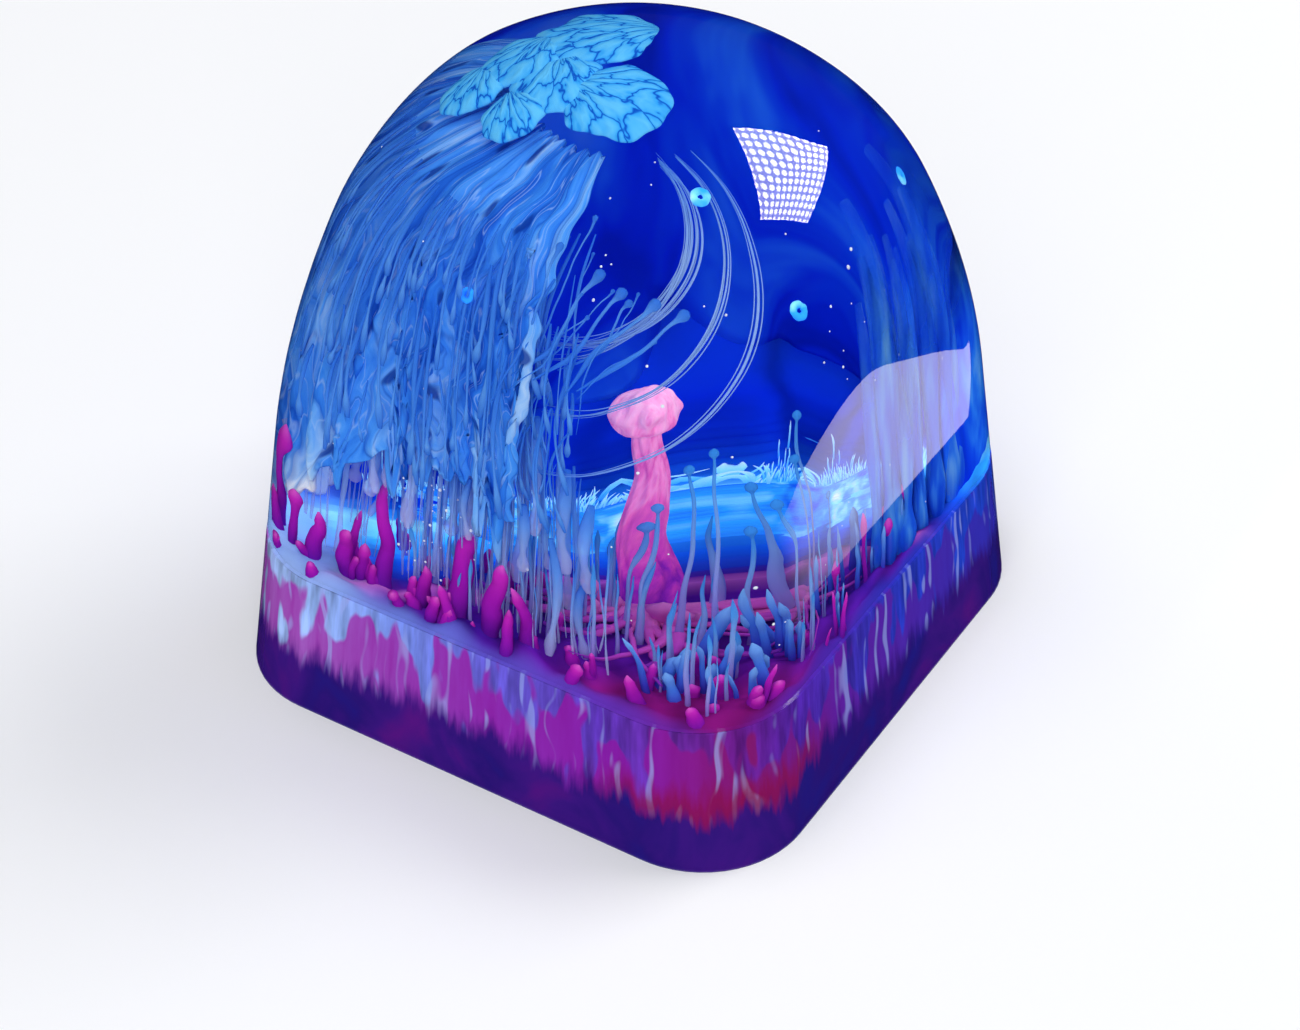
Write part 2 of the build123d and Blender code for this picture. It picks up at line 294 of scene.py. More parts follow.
# Sweep for everything that grows or hangs as a strand: a curve's own radius gives the taper
def makeStrandTree():
    group, start = beginTree("inkStrands", (
        ("Sides", "Int"), ("Step", "Float"), ("Wiggle", "Float"), ("Wiggle Size", "Float"),
    ))
    curve = addNode(group, "GeometryNodeResampleCurve", {
        "Curve": start["Geometry"], "Length": start["Step"]}, mode="LENGTH")
    along = addNode(group, "GeometryNodeSplineParameter").outputs["Factor"]
    stored = addNode(group, "GeometryNodeStoreNamedAttribute", {
        "Name": "along", "Geometry": curve, "Value": along}, data_type="FLOAT", domain="POINT")
    fineness = addNode(group, "ShaderNodeMath", {0: 1.0, 1: start["Wiggle Size"]}, operation="DIVIDE")
    field = addNode(group, "ShaderNodeTexNoise", {
        "Vector": addNode(group, "GeometryNodeInputPosition"), "Scale": fineness, "Detail": 1.0})
    centred = addNode(group, "ShaderNodeVectorMath", {0: field.outputs["Color"], 1: (0.5, 0.5, 0.5)},
                      operation="SUBTRACT")
    amount = addNode(group, "ShaderNodeMath", {0: along, 1: start["Wiggle"]}, operation="MULTIPLY")
    shift = addNode(group, "ShaderNodeVectorMath", {0: centred, "Scale": amount}, operation="SCALE")
    moved = addNode(group, "GeometryNodeSetPosition", {"Geometry": stored, "Offset": shift})
    ring = addNode(group, "GeometryNodeCurvePrimitiveCircle", {"Radius": 1.0, "Resolution": start["Sides"]})
    swept = addNode(group, "GeometryNodeCurveToMesh", {
        "Curve": moved, "Profile Curve": ring, "Fill Caps": True,
        "Scale": addNode(group, "GeometryNodeInputRadius"),
    })
    endTree(group, swept, start["Material"])
    return group


strandTree = makeStrandTree()


def strandPiece(name, strands, material, replaced=None, sides=8, step=0.12, wiggle=0.0,
                wiggleSize=2.0):
    # strands: lists of (x, y, z, radius) in millimetres, drawn as smooth curves
    curve = bpy.data.curves.new(name + "Lines", "CURVE")
    curve.dimensions = "3D"
    for strand in strands:
        spline = curve.splines.new("NURBS")
        spline.points.add(len(strand) - 1)
        for point, (x, y, z, radius) in zip(spline.points, strand):
            point.co = (x * mm, y * mm, z * mm, 1.0)
            point.radius = radius * mm
        spline.order_u = 3
        spline.use_endpoint_u = True
        spline.resolution_u = 6
    inputs = {"Sides": sides, "Step": step * mm, "Wiggle": wiggle * mm, "Wiggle Size": wiggleSize * mm,
              "Material": material}
    return grownPiece(name, curve, strandTree, inputs, replaced)


# Level directions as the photograph shows the cap: away from the eye, right, left, and to the front corner
farDirection = (-0.527, 0.85, 0)
rightDirection = (0.85, 0.53, 0)
leftDirection = (-0.85, -0.53, 0)
cornerDirection = (0.707, -0.707, 0)


def sideColour(tree, place):
    # Main colour of the ink from the left-hand corner past the front corner to the right-hand one
    reach = 12.5 * mm
    right = addNode(tree, "ShaderNodeVectorMath", {0: place, 1: rightDirection}, operation="DOT_PRODUCT")
    side = addNode(tree, "ShaderNodeMapRange", {"Value": right, "From Min": -reach, "From Max": reach})
    return side, addNode(tree, "ShaderNodeValToRGB", {"Fac": side}, [
        (0.0, "#BCD2FA"), (0.14, "#98B8F6"), (0.24, "#7890EA"), (0.34, "#665CD2"), (0.46, "#6238BC"),
        (0.6, "#741E92"), (0.68, "#5026A8"), (0.8, "#2A38C0"), (0.95, "#1A4AD8"),
    ])


# Floor of the pour, seen through the dome: violet near the front, turquoise layers, deep blue at the rear
seabed = {
    "inset": 0.06, "around": 220, "rings": 110, "above": 0.01, "rim": 0.06,
    "lumpSize": 1.1, "lumpHeight": 0.5, "ripple": 0.55, "rippleHeight": 0.1, "ridge": 0.3,
    "ridgeWidth": 0.45, "frontEdge": -2.4, "frontSlope": 1.5, "rearEdge": 3.4, "rearSlope": 2.0, "sway": 2.6,
    "least": 0.03, "layerTurn": math.radians(-166.8),
}


def makeSeabedInk():
    material, tree = newMaterial("layeredInkPour")
    place = addNode(tree, "ShaderNodeTexCoord").outputs["Object"]
    far = addNode(tree, "ShaderNodeVectorMath", {0: place, 1: farDirection}, operation="DOT_PRODUCT")
    left = addNode(tree, "ShaderNodeVectorMath", {0: place, 1: leftDirection}, operation="DOT_PRODUCT")
    drift = addNode(tree, "ShaderNodeTexNoise", {
        "Vector": place, "Scale": 1 / (seabed["sway"] * mm), "Detail": 3.0, "Roughness": 0.55})
    sway = addNode(tree, "ShaderNodeMath", {0: drift, 1: 2.0 * mm, 2: -1.0 * mm}, operation="MULTIPLY_ADD")
    nearer = addNode(tree, "ShaderNodeMapRange", {  # the turquoise comes nearer at the left
        "Value": left, "From Max": 5.0 * mm, "To Max": 1.8 * mm,
    }, interpolation_type="SMOOTHSTEP")
    shift = addNode(tree, "ShaderNodeMath", {0: sway, 1: nearer}, operation="ADD")
    depth = addNode(tree, "ShaderNodeMath", {0: far, 1: shift}, operation="ADD")
    zone = addNode(tree, "ShaderNodeMapRange", {
        "Value": depth, "From Min": -dome["halfWidth"] * mm, "From Max": dome["halfWidth"] * mm})
    zoneColour = addNode(tree, "ShaderNodeValToRGB", {"Fac": zone}, [
        (0.0, "#7E1470"), (0.03, "#861880"), (0.1, "#6A1A9C"), (0.16, ink["purple"]), (0.25, ink["violet"]),
        (0.33, ink["purple"]), (0.362, ink["rose"]), (0.38, ink["purple"]), (0.41, "#2A3CD0"),
        (0.46, ink["blue"]), (0.5, "#2C90F8"), (0.55, ink["turquoise"]), (0.605, ink["cyan"]),
        (0.63, "#2C90F4"), (0.68, ink["blue"]), (0.74, "#0C3CE0"), (0.84, ink["deepBlue"]),
        (0.93, "#1454EC"), (1.0, ink["deepBlue"]),
    ])
    turned = addNode(tree, "ShaderNodeMapping", {
        "Vector": place, "Rotation": (0.0, 0.0, seabed["layerTurn"])})
    layers = addNode(tree, "ShaderNodeTexWave", {
        "Vector": turned, "Scale": 1 / (3.6 * mm), "Distortion": 4.0, "Detail": 3.0, "Detail Scale": 1.2,
    }, wave_type="BANDS", bands_direction="DIAGONAL").outputs["Fac"]
    tone = addNode(tree, "ShaderNodeMapRange", {"Value": layers, "To Min": 0.72, "To Max": 1.2})
    toned = addNode(tree, "ShaderNodeVectorMath", {0: zoneColour, "Scale": tone}, operation="SCALE")
    pale = addNode(tree, "ShaderNodeMapRange", {
        "Value": left, "From Min": 6.0 * mm, "From Max": 9.5 * mm, "To Max": 0.85,
    }, interpolation_type="SMOOTHSTEP")
    paled = addNode(tree, "ShaderNodeMix", {"Factor": pale, "A": toned, "B": linear("#9CC0F8")},
                    data_type="RGBA")
    spread = addNode(tree, "ShaderNodeVectorMath", {0: place}, operation="ABSOLUTE")
    sides = addNode(tree, "ShaderNodeSeparateXYZ", {"Vector": spread}).outputs
    reach = addNode(tree, "ShaderNodeMath", {0: sides["X"], 1: sides["Y"]}, operation="MAXIMUM")
    rim = addNode(tree, "ShaderNodeMapRange", {
        "Value": reach, "From Min": 7.5 * mm, "From Max": 8.3 * mm, "To Max": 0.9,
    }, interpolation_type="SMOOTHSTEP")
    front = addNode(tree, "ShaderNodeMapRange", {
        "Value": far, "From Min": -2.5 * mm, "From Max": 0.5 * mm, "To Min": 1.0, "To Max": 0.0})
    frontRim = addNode(tree, "ShaderNodeMath", {0: rim, 1: front}, operation="MULTIPLY")
    wallColour = sideColour(tree, place)[1]
    joined = addNode(tree, "ShaderNodeMix", {"Factor": frontRim, "A": paled, "B": wallColour},
                     data_type="RGBA")  # the same colour as the wall below
    # Painted light: the blue, turquoise and cyan layers give off emission in their own colour, standing in
    # for light that reaches them through the dome
    paintedBandGlow = addNode(tree, "ShaderNodeValToRGB", {"Fac": zone}, [
        (0.4, "#000000"), (0.48, "#909090"), (0.56, "#D0D0D0"), (0.62, "#B8B8B8"), (0.68, "#000000"),
    ])
    inkShader(tree, joined, height=layers, strength=0.35, distance=0.12, paintedGlow=paintedBandGlow)
    return material


def seabedHeight(x, y):
    far = x * farDirection[0] + y * farDirection[1] + 1.0 * wave(x / seabed["sway"], y / seabed["sway"], 3.0)
    front = min(max((seabed["frontEdge"] - far) / seabed["frontSlope"], 0.0), 1.0)
    rear = min(max((far - seabed["rearEdge"]) / seabed["rearSlope"], 0.0), 1.0)
    middle = (1 - front) * (1 - rear)
    lump = max(0.0, wave(x / seabed["lumpSize"], y / seabed["lumpSize"], 7.0) + 0.25)
    ripple = 0.5 + 0.5 * math.sin(math.tau * far / seabed["ripple"])
    ridge = math.exp(-((far - seabed["frontEdge"]) / seabed["ridgeWidth"]) ** 2)
    return (front * lump * seabed["lumpHeight"] + middle * ripple * seabed["rippleHeight"]
            + ridge * seabed["ridge"] * (0.7 + 0.5 * wave(x, y, 2.0)) + seabed["least"])


def makeSeabed():
    around, rings = seabed["around"], seabed["rings"]
    points = [(0, 0, dome["floor"] + seabedHeight(0, 0))]
    for j in range(1, rings + 1):
        share = j / rings
        rim = min((1 - share) / seabed["rim"], 1.0)
        for i in range(around):
            angle = math.tau * i / around
            x, y = polar(share * (domeRadius(angle, dome["floor"]) - seabed["inset"]), angle)
            points.append((x, y, dome["floor"] + seabed["above"] + rim * seabedHeight(x, y)))
    faces = [(0, 1 + i, 1 + (i + 1) % around) for i in range(around)]
    faces += ringFaces(1, around, rings, inward=True)
    meshPiece("seabed", points, faces, makeSeabedInk())


makeSeabed()
print("seabed made")


# Skirt of the pour: deep violet below; the inks run down its upper wall, pale at the left, then violet with
# magenta tongues, crimson round the front corner, blue at the right
def makePourResin():
    material, tree = newMaterial("marbledVioletEpoxy")
    place = addNode(tree, "ShaderNodeTexCoord").outputs["Object"]
    up = addNode(tree, "ShaderNodeSeparateXYZ", {"Vector": place}).outputs["Z"]
    cloud = addNode(tree, "ShaderNodeTexNoise", {
        "Vector": place, "Scale": 1 / (4.0 * mm), "Detail": 4.0, "Distortion": 1.2})
    marble = addNode(tree, "ShaderNodeValToRGB", {"Fac": cloud}, [
        (0.3, "#5A1484"), (0.45, "#3E1682"), (0.58, "#2C1478"), (0.72, "#1C1C88"),
    ])
    # The wall's lean taken out, so that the runs go straight down it
    lean = -math.tan(dome["draft"]) / (dome["halfWidth"] * mm)
    narrowing = addNode(tree, "ShaderNodeMath", {0: up, 1: lean, 2: 1.0}, operation="MULTIPLY_ADD")
    widening = addNode(tree, "ShaderNodeMath", {0: 1.0, 1: narrowing}, operation="DIVIDE")
    plumb = addNode(tree, "ShaderNodeVectorMath", {0: place, "Scale": widening}, operation="SCALE")
    # Runs in the wall's own colours
    drawn = addNode(tree, "ShaderNodeMapping", {"Vector": plumb, "Scale": (1.0, 1.0, 0.14)})
    runs = addNode(tree, "ShaderNodeTexNoise", {
        "Vector": drawn, "Scale": 1 / (0.5 * mm), "Detail": 3.0, "Roughness": 0.6})
    side, colour = sideColour(tree, place)
    runTone = addNode(tree, "ShaderNodeMapRange", {
        "Value": runs, "From Min": 0.34, "From Max": 0.68, "To Min": 0.6, "To Max": 1.4})
    runColour = addNode(tree, "ShaderNodeVectorMath", {0: colour, "Scale": runTone}, operation="SCALE")
    # Tongues that reach up from below
    tall = addNode(tree, "ShaderNodeMapping", {"Vector": plumb, "Scale": (1.0, 1.0, 0.35)})
    tongues = addNode(tree, "ShaderNodeTexNoise", {"Vector": tall, "Scale": 1 / (0.9 * mm), "Detail": 1.5})
    tip = addNode(tree, "ShaderNodeMath", {0: tongues, 1: 11.0 * mm, 2: -2.0 * mm}, operation="MULTIPLY_ADD")
    belowTip = addNode(tree, "ShaderNodeMath", {0: tip, 1: up}, operation="SUBTRACT")
    tongue = addNode(tree, "ShaderNodeMapRange", {
        "Value": belowTip, "From Min": -0.25 * mm, "From Max": 0.35 * mm, "To Max": 0.85,
    }, interpolation_type="SMOOTHSTEP")
    tongueColour = addNode(tree, "ShaderNodeValToRGB", {"Fac": side}, [
        (0.0, "#B01CB4"), (0.5, "#8E16A6"), (0.62, "#8A1664"), (0.72, "#6A1EA4"), (0.9, "#3A2AB4"),
    ])
    tongued = addNode(tree, "ShaderNodeMix", {"Factor": tongue, "A": runColour, "B": tongueColour},
                      data_type="RGBA")
    # Fine pale threads
    drift = addNode(tree, "ShaderNodeTexNoise", {"Vector": plumb, "Scale": 1 / (1.8 * mm), "Detail": 0.0})
    drifted = addNode(tree, "ShaderNodeVectorMath", {
        0: drift.outputs["Color"], 1: (0.8 * mm, 0.8 * mm, 0.0), 2: plumb}, operation="MULTIPLY_ADD")
    upright = addNode(tree, "ShaderNodeMapping", {"Vector": drifted, "Scale": (1.0, 1.0, 0.0)})
    threads = addNode(tree, "ShaderNodeTexNoise", {
        "Vector": upright, "Scale": 1 / (0.3 * mm), "Detail": 0.0})
    thinned = addNode(tree, "ShaderNodeMapRange", {
        "Value": threads, "From Min": 0.6, "From Max": 0.72, "To Max": 0.5,
    }, interpolation_type="SMOOTHSTEP")
    threaded = addNode(tree, "ShaderNodeMix", {"Factor": thinned, "A": tongued, "B": linear("#A4B4FA")},
                       data_type="RGBA")
    # Marble below an uneven line
    uneven = addNode(tree, "ShaderNodeMath", {0: runs, 1: 2.4 * mm, 2: up}, operation="MULTIPLY_ADD")
    above = addNode(tree, "ShaderNodeMapRange", {
        "Value": uneven, "From Min": 2.7 * mm, "From Max": 3.7 * mm}, interpolation_type="SMOOTHSTEP")
    wall = addNode(tree, "ShaderNodeMix", {"Factor": above, "A": marble, "B": threaded}, data_type="RGBA")
    # Crimson strip round the front corner
    near = addNode(tree, "ShaderNodeVectorMath", {0: place, 1: cornerDirection}, operation="DOT_PRODUCT")
    corner = addNode(tree, "ShaderNodeMapRange", {
        "Value": near, "From Min": 8.6 * mm, "From Max": 10.4 * mm}, interpolation_type="SMOOTHSTEP")
    level = addNode(tree, "ShaderNodeMapRange", {
        "Value": uneven, "From Min": 2.4 * mm, "From Max": 5.4 * mm})
    strip = addNode(tree, "ShaderNodeValToRGB", {"Fac": level}, [
        (0.1, "#000000"), (0.28, "#E0E0E0"), (0.36, "#E0E0E0"), (0.6, "#000000"),
    ])
    crimson = addNode(tree, "ShaderNodeMath", {0: corner, 1: strip}, operation="MULTIPLY")
    cornered = addNode(tree, "ShaderNodeMix", {"Factor": crimson, "A": wall, "B": linear("#8E0E48")},
                       data_type="RGBA")
    # The rear's deep blue reaches down over the brim
    far = addNode(tree, "ShaderNodeVectorMath", {0: place, 1: farDirection}, operation="DOT_PRODUCT")
    rear = addNode(tree, "ShaderNodeMapRange", {
        "Value": far, "From Min": 1.5 * mm, "From Max": 3.5 * mm}, interpolation_type="SMOOTHSTEP")
    brim = addNode(tree, "ShaderNodeMapRange", {
        "Value": up, "From Min": 3.6 * mm, "From Max": 4.4 * mm}, interpolation_type="SMOOTHSTEP")
    rearBrim = addNode(tree, "ShaderNodeMath", {0: rear, 1: brim}, operation="MULTIPLY")
    rimmed = addNode(tree, "ShaderNodeMix", {
        "Factor": rearBrim, "A": cornered, "B": linear(ink["deepBlue"])}, data_type="RGBA")
    finishMaterial(tree, "ShaderNodeBsdfPrincipled", {"Base Color": rimmed, "Roughness": 0.1, "IOR": 1.5})
    return material


nodes["base_pour"].data.materials.clear()
nodes["base_pour"].data.materials.append(makePourResin())

# Deep blue pour against the rear walls, with soft paler clouds, thinning out upwards
backing = {"from": math.radians(27), "to": math.radians(163), "top": 12.0, "outer": 0.8, "inner": 1.7,
           "around": 150, "up": 48, "rough": 1.1, "ripple": 0.18}


def makeBackingInk():
    material, tree = newMaterial("deepBlueInk")
    place = addNode(tree, "ShaderNodeTexCoord").outputs["Object"]
    drawn = addNode(tree, "ShaderNodeMapping", {"Vector": place, "Scale": (1.0, 1.0, 0.35)})
    cloud = addNode(tree, "ShaderNodeTexNoise", {
        "Vector": drawn, "Scale": 1 / (1.7 * mm), "Detail": 3.0, "Distortion": 0.8})
    colour = addNode(tree, "ShaderNodeValToRGB", {"Fac": cloud}, [
        (0.28, ink["night"]), (0.38, ink["deepBlue"]), (0.47, "#1458F4"), (0.57, "#2A80FC"),
        (0.72, ink["skyBlue"]),
    ])
    up = addNode(tree, "ShaderNodeSeparateXYZ", {"Vector": place}).outputs["Z"]
    cover = addNode(tree, "ShaderNodeMapRange", {
        "Value": up, "From Min": 9.0 * mm, "From Max": backing["top"] * mm, "To Min": 1.0, "To Max": 0.0,
    }, interpolation_type="SMOOTHSTEP")
    inkShader(tree, colour, cover)
    return material


def makeBacking():
    points, faces = [], []
    around, up, floor = backing["around"], backing["up"], dome["floor"]
    outer, thickness = backing["outer"], backing["inner"] - backing["outer"]
    for i in range(around + 1):
        u = i / around
        angle = between(backing["from"], backing["to"], u)
        ends = min(1.0, 9 * u, 9 * (1 - u)) ** 0.5  # the pour runs out at both ends
        tall = (backing["top"] - floor + backing["rough"] * wave(7 * u, 1.0, 2.0)) * (0.55 + 0.45 * ends)
        for j in range(up + 1):
            z = floor + tall * j / up
            feather = math.sqrt(max(1 - (j / up) ** 6, 0.0)) * (0.15 + 0.85 * ends)
            ripple = backing["ripple"] * wave(9 * u, 0.5 * z, 6.0) * feather
            for inset in (outer, max(outer + thickness * feather + ripple, outer)):
                points.append(polar(domeRadius(angle, z, inset), angle) + (z,))
    row = 2 * (up + 1)
    for a in range(0, around * row, row):
        b = a + row
        for j in range(0, 2 * up, 2):
            faces.append((a + j, b + j, b + j + 2, a + j + 2))
            faces.append((a + j + 1, a + j + 3, b + j + 3, b + j + 1))
        faces.append((a, a + 1, b + 1, b))
        faces.append((a + 2 * up, b + 2 * up, b + 2 * up + 1, a + 2 * up + 1))
    for j in range(0, 2 * up, 2):
        end = around * row + j
        faces.append((j, j + 2, j + 3, j + 1))
        faces.append((end + 1, end + 3, end + 2, end))
    meshPiece("blueBacking", points, faces, makeBackingInk(), "blue_backing")


makeBacking()
print("backing made")

# Pale veil of ink that spread down the inside of the dome at the left, in long folds and drips
veil = {
    "from": math.radians(165), "to": math.radians(279), "across": 340, "down": 150,
    "top": 16.7, "hem": 9.2, "hemFrom": math.radians(212), "hemTo": math.radians(244),
    "hemRough": 1.1, "drip": 3.2, "edgeFlare": 0.14, "edgeSway": 0.05, "edgeRough": 0.03, "sway": 0.06,
    "depth": 1.0, "topDepth": 1.75, "least": 0.85, "folds": 17, "foldDepth": 0.3, "swell": 0.3,
    "thickness": 0.12,
    "width": 17.0, "length": 14.0,  # of the pattern on it
}


def makeVeilInk():
    material, tree = newMaterial("paleBlueInk")
    flat = addNode(tree, "ShaderNodeUVMap", uv_map="flow")  # millimetres, across and down the veil
    push = addNode(tree, "ShaderNodeTexNoise", {"Vector": flat, "Scale": 0.3, "Detail": 2.0})
    bent = addNode(tree, "ShaderNodeVectorMath", {0: push.outputs["Color"], 1: (2.8, 2.8, 0.0), 2: flat},
                   operation="MULTIPLY_ADD")
    drawn = addNode(tree, "ShaderNodeMapping", {"Vector": bent, "Scale": (1.0, 0.13, 1.0)})
    # Long folds of lighter and darker ink, palest towards the floor
    flow = addNode(tree, "ShaderNodeTexNoise", {
        "Vector": drawn, "Scale": 1.3, "Detail": 5.0, "Roughness": 0.6})
    patches = addNode(tree, "ShaderNodeTexVoronoi", {"Vector": drawn, "Scale": 1.5}, voronoi_dimensions="2D")
    own = addNode(tree, "ShaderNodeSeparateColor", {"Color": patches.outputs["Color"]})
    patched = addNode(tree, "ShaderNodeMath", {0: own, 1: 0.2, 2: flow}, operation="MULTIPLY_ADD")
    place = addNode(tree, "ShaderNodeTexCoord").outputs["Object"]
    up = addNode(tree, "ShaderNodeSeparateXYZ", {"Vector": place}).outputs["Z"]
    fade = addNode(tree, "ShaderNodeMapRange", {
        "Value": up, "From Min": dome["floor"] * mm, "From Max": 9.0 * mm, "To Min": 0.5, "To Max": 0.0,
    }, interpolation_type="SMOOTHSTEP")
    tone = addNode(tree, "ShaderNodeMath", {0: patched, 1: fade}, operation="ADD")
    colour = addNode(tree, "ShaderNodeValToRGB", {"Fac": tone}, [
        (0.4, "#1A58CA"), (0.5, "#2A74E4"), (0.58, "#3C8CF2"), (0.66, "#4E9CF8"), (0.76, "#74B2FA"),
        (0.9, "#B0D4FC"), (1.0, "#F4F8FF"),
    ])
    # Dark seams, pale lines and dark dots over them
    edges = addNode(tree, "ShaderNodeTexVoronoi", {"Vector": drawn, "Scale": 1.5}, voronoi_dimensions="2D",
                    feature="DISTANCE_TO_EDGE")
    seam = addNode(tree, "ShaderNodeMapRange", {
        "Value": edges, "From Max": 0.07, "To Min": 0.4, "To Max": 0.0}, interpolation_type="SMOOTHSTEP")
    seamed = addNode(tree, "ShaderNodeMix", {"Factor": seam, "A": colour, "B": linear("#1746B8")},
                     data_type="RGBA")
    bands = addNode(tree, "ShaderNodeTexNoise", {"Vector": drawn, "Scale": 2.2, "Detail": 1.0})
    away = addNode(tree, "ShaderNodeMath", {0: bands, 1: 0.14}, operation="PINGPONG")
    line = addNode(tree, "ShaderNodeMapRange", {
        "Value": away, "From Max": 0.02, "To Min": 0.5, "To Max": 0.0})
    lined = addNode(tree, "ShaderNodeMix", {"Factor": line, "A": seamed, "B": linear("#A4CAFC")},
                    data_type="RGBA")
    loose = addNode(tree, "ShaderNodeMapping", {"Vector": bent, "Scale": (0.5, 0.3, 1.0)})
    middles = addNode(tree, "ShaderNodeTexVoronoi", {"Vector": loose, "Scale": 1.0}, voronoi_dimensions="2D")
    dot = addNode(tree, "ShaderNodeMapRange", {
        "Value": middles, "From Min": 0.05, "From Max": 0.12, "To Min": 0.85, "To Max": 0.0,
    }, interpolation_type="SMOOTHSTEP")
    dotted = addNode(tree, "ShaderNodeMix", {"Factor": dot, "A": lined, "B": linear("#0C3498")},
                     data_type="RGBA")
    inkShader(tree, dotted, height=tone, strength=0.4, distance=0.16)
    return material


def veilPoint(u, v):
    # u runs round the dome, v from under the blooms down to the hem
    edge = veil["to"] + veil["edgeFlare"] * max(1 - 3 * v, 0.0)
    edge += veil["edgeSway"] * wave(6 * v, 2.0, 1.0) + veil["edgeRough"] * wave(17 * v, 5.0, 1.0)
    angle = between(veil["from"], edge, u) + veil["sway"] * wave(3.0 * u, 1.4 * v, 5.0) * min(3 * v, 1.0)
    raised = min(max((angle - veil["hemFrom"]) / (veil["hemTo"] - veil["hemFrom"]), 0.0), 1.0)
    drip = veil["hemRough"] * wave(10 * u, 0.5, 4.0) + veil["drip"] * max(wave(55 * u, 0.5, 4.0), 0.0)
    hem = dome["floor"] + 0.1 + raised * max(veil["hem"] - dome["floor"] - drip, 0.4)
    z = between(veil["top"], hem, v ** 1.2)
    fold = math.sin(math.tau * veil["folds"] * u + 6 * wave(4 * u, 2 * v, 1.0))
    depth = between(veil["topDepth"], veil["depth"], min(2.2 * v, 1.0))
    depth += veil["foldDepth"] * (0.3 + 0.7 * v) * (0.5 + 0.5 * fold)
    depth += veil["swell"] * (wave(5 * u, 1.5 * v, 9.0) + 0.3) * v
    return polar(max(domeRadius(angle, z, max(depth, veil["least"])), 0.3), angle) + (z,)


def makeVeil():
    points, faces, flow = [], [], []
    across, down = veil["across"], veil["down"]
    for i in range(across + 1):
        for j in range(down + 1):
            points.append(veilPoint(i / across, j / down))
            flow.append((i / across * veil["width"], j / down * veil["length"]))
    for i in range(across):
        for j in range(down):
            low = i * (down + 1) + j
            faces.append((low, low + 1, low + down + 2, low + down + 1))
    piece = meshPiece("paleVeil", points, faces, makeVeilInk(), "pale_veil")
    addPattern(piece, "flow", flow)
    wall = piece.modifiers.new("wall", "SOLIDIFY")
    wall.thickness = veil["thickness"] * mm


makeVeil()
print("veil made")

# Strands that hang behind the hem down to the floor: long ones in a row, broad drips and fine ones between
hanging = {
    "count": 10, "from": 244, "to": 292, "depth": 2.8, "radius": 0.11, "height": 5.6, "step": 1.0,
    "sway": 2.0, "drips": 34, "fine": 84, "dripsFrom": 214, "dripsTo": 300, "stride": 37, "seed": 11,
    "broad": (0.1, 0.3), "thin": (0.02, 0.06), "tops": (8.6, 12.4), "broadFeet": (4.6, 8.4),
    "thinFeet": (4.55, 5.4), "shortest": 1.6, "depths": (1.3, 3.0), "sways": (-2, 2),
}
# Runs that lie on the face of the veil, and runs that break away from its edge
drip = {
    "seed": 53,
    "face": {"count": 110, "from": 176, "to": 276, "stride": 41, "top": 16.2, "bottom": 8.5, "depth": 0.86,
             "lengths": (1.5, 6.5), "widths": (0.04, 0.12), "sways": (-2, 2), "drop": 1.3},
    "edge": {"count": 60, "feet": (8.5, 13.5), "lengths": (1.5, 4.0), "top": 15.6, "turns": (268, 291),
             "depths": (1.0, 2.2), "widths": (0.02, 0.09), "sways": (-5, 1), "drop": 1.4},
}

# Clear blue at the top, pale lilac and thinner towards the foot
paleStrandInk = strandInk("paleStrandInk", [
    (0.0, "#3A80EE"), (0.3, "#6AA4F8"), (0.65, "#A0C0FC"), (1.0, "#CCCCFF"),
], thinning={"From Min": 0.3, "From Max": 0.9, "To Min": 0.66, "To Max": 0.34})
# Even mid blue, a little see-through
dripInk = strandInk("midBlueInk", [
    (0.0, "#3078EA"), (0.5, "#4890F4"), (0.85, "#62A6F8"), (1.0, "#3478E4"),
], 0.7)


def hangingStrand(degrees, top, foot, depth, width, sway, phase, drop=1.0):
    strand = []
    steps = 12
    neck = 0.35
    dropFrom = 0.8
    for k in range(steps + 1):
        t = k / steps
        turn = degrees + sway * math.sin(math.pi * t) + 0.3 * math.sin(6 * t + phase)
        taper = width * (neck + 0.4 * math.sin(math.pi * min(1.4 * t, 1.0)))
        if t > dropFrom:
            taper = width * (neck + (drop - neck) * math.sin(math.pi * (t - dropFrom) / 0.22))
        strand.append(tuple(underSkin(turn, between(top, foot, t), depth)) + (max(taper, 0.01),))
    return strand


def makeHanging():
    dice = random.Random(hanging["seed"])
    strands = []
    for i in range(hanging["count"]):
        degrees = between(hanging["from"], hanging["to"], i / (hanging["count"] - 1))
        top = dome["floor"] + hanging["height"] + hanging["step"] * (i % 3)
        strands.append(hangingStrand(degrees, top, dome["floor"], hanging["depth"], hanging["radius"],
                                     hanging["sway"], i))
    number = hanging["drips"] + hanging["fine"]
    for i in range(number):
        share = (i * hanging["stride"] % number + dice.random()) / number
        degrees = between(hanging["dripsFrom"], hanging["dripsTo"], share)
        broad = i < hanging["drips"]
        width = dice.uniform(*hanging["broad" if broad else "thin"])
        top = dice.uniform(*hanging["tops"]) - 3.0 * max(share - 0.8, 0) / 0.2  # lower at the right-hand end
        foot = min(dice.uniform(*hanging["broadFeet" if broad else "thinFeet"]), top - hanging["shortest"])
        depth, sway = draws(dice, hanging, "depths", "sways")
        strands.append(hangingStrand(degrees, top, foot, depth, width, sway, i))
    strandPiece("hangingStrands", strands, paleStrandInk, "pale_veil", step=0.14, wiggle=0.25,
                wiggleSize=2.6)


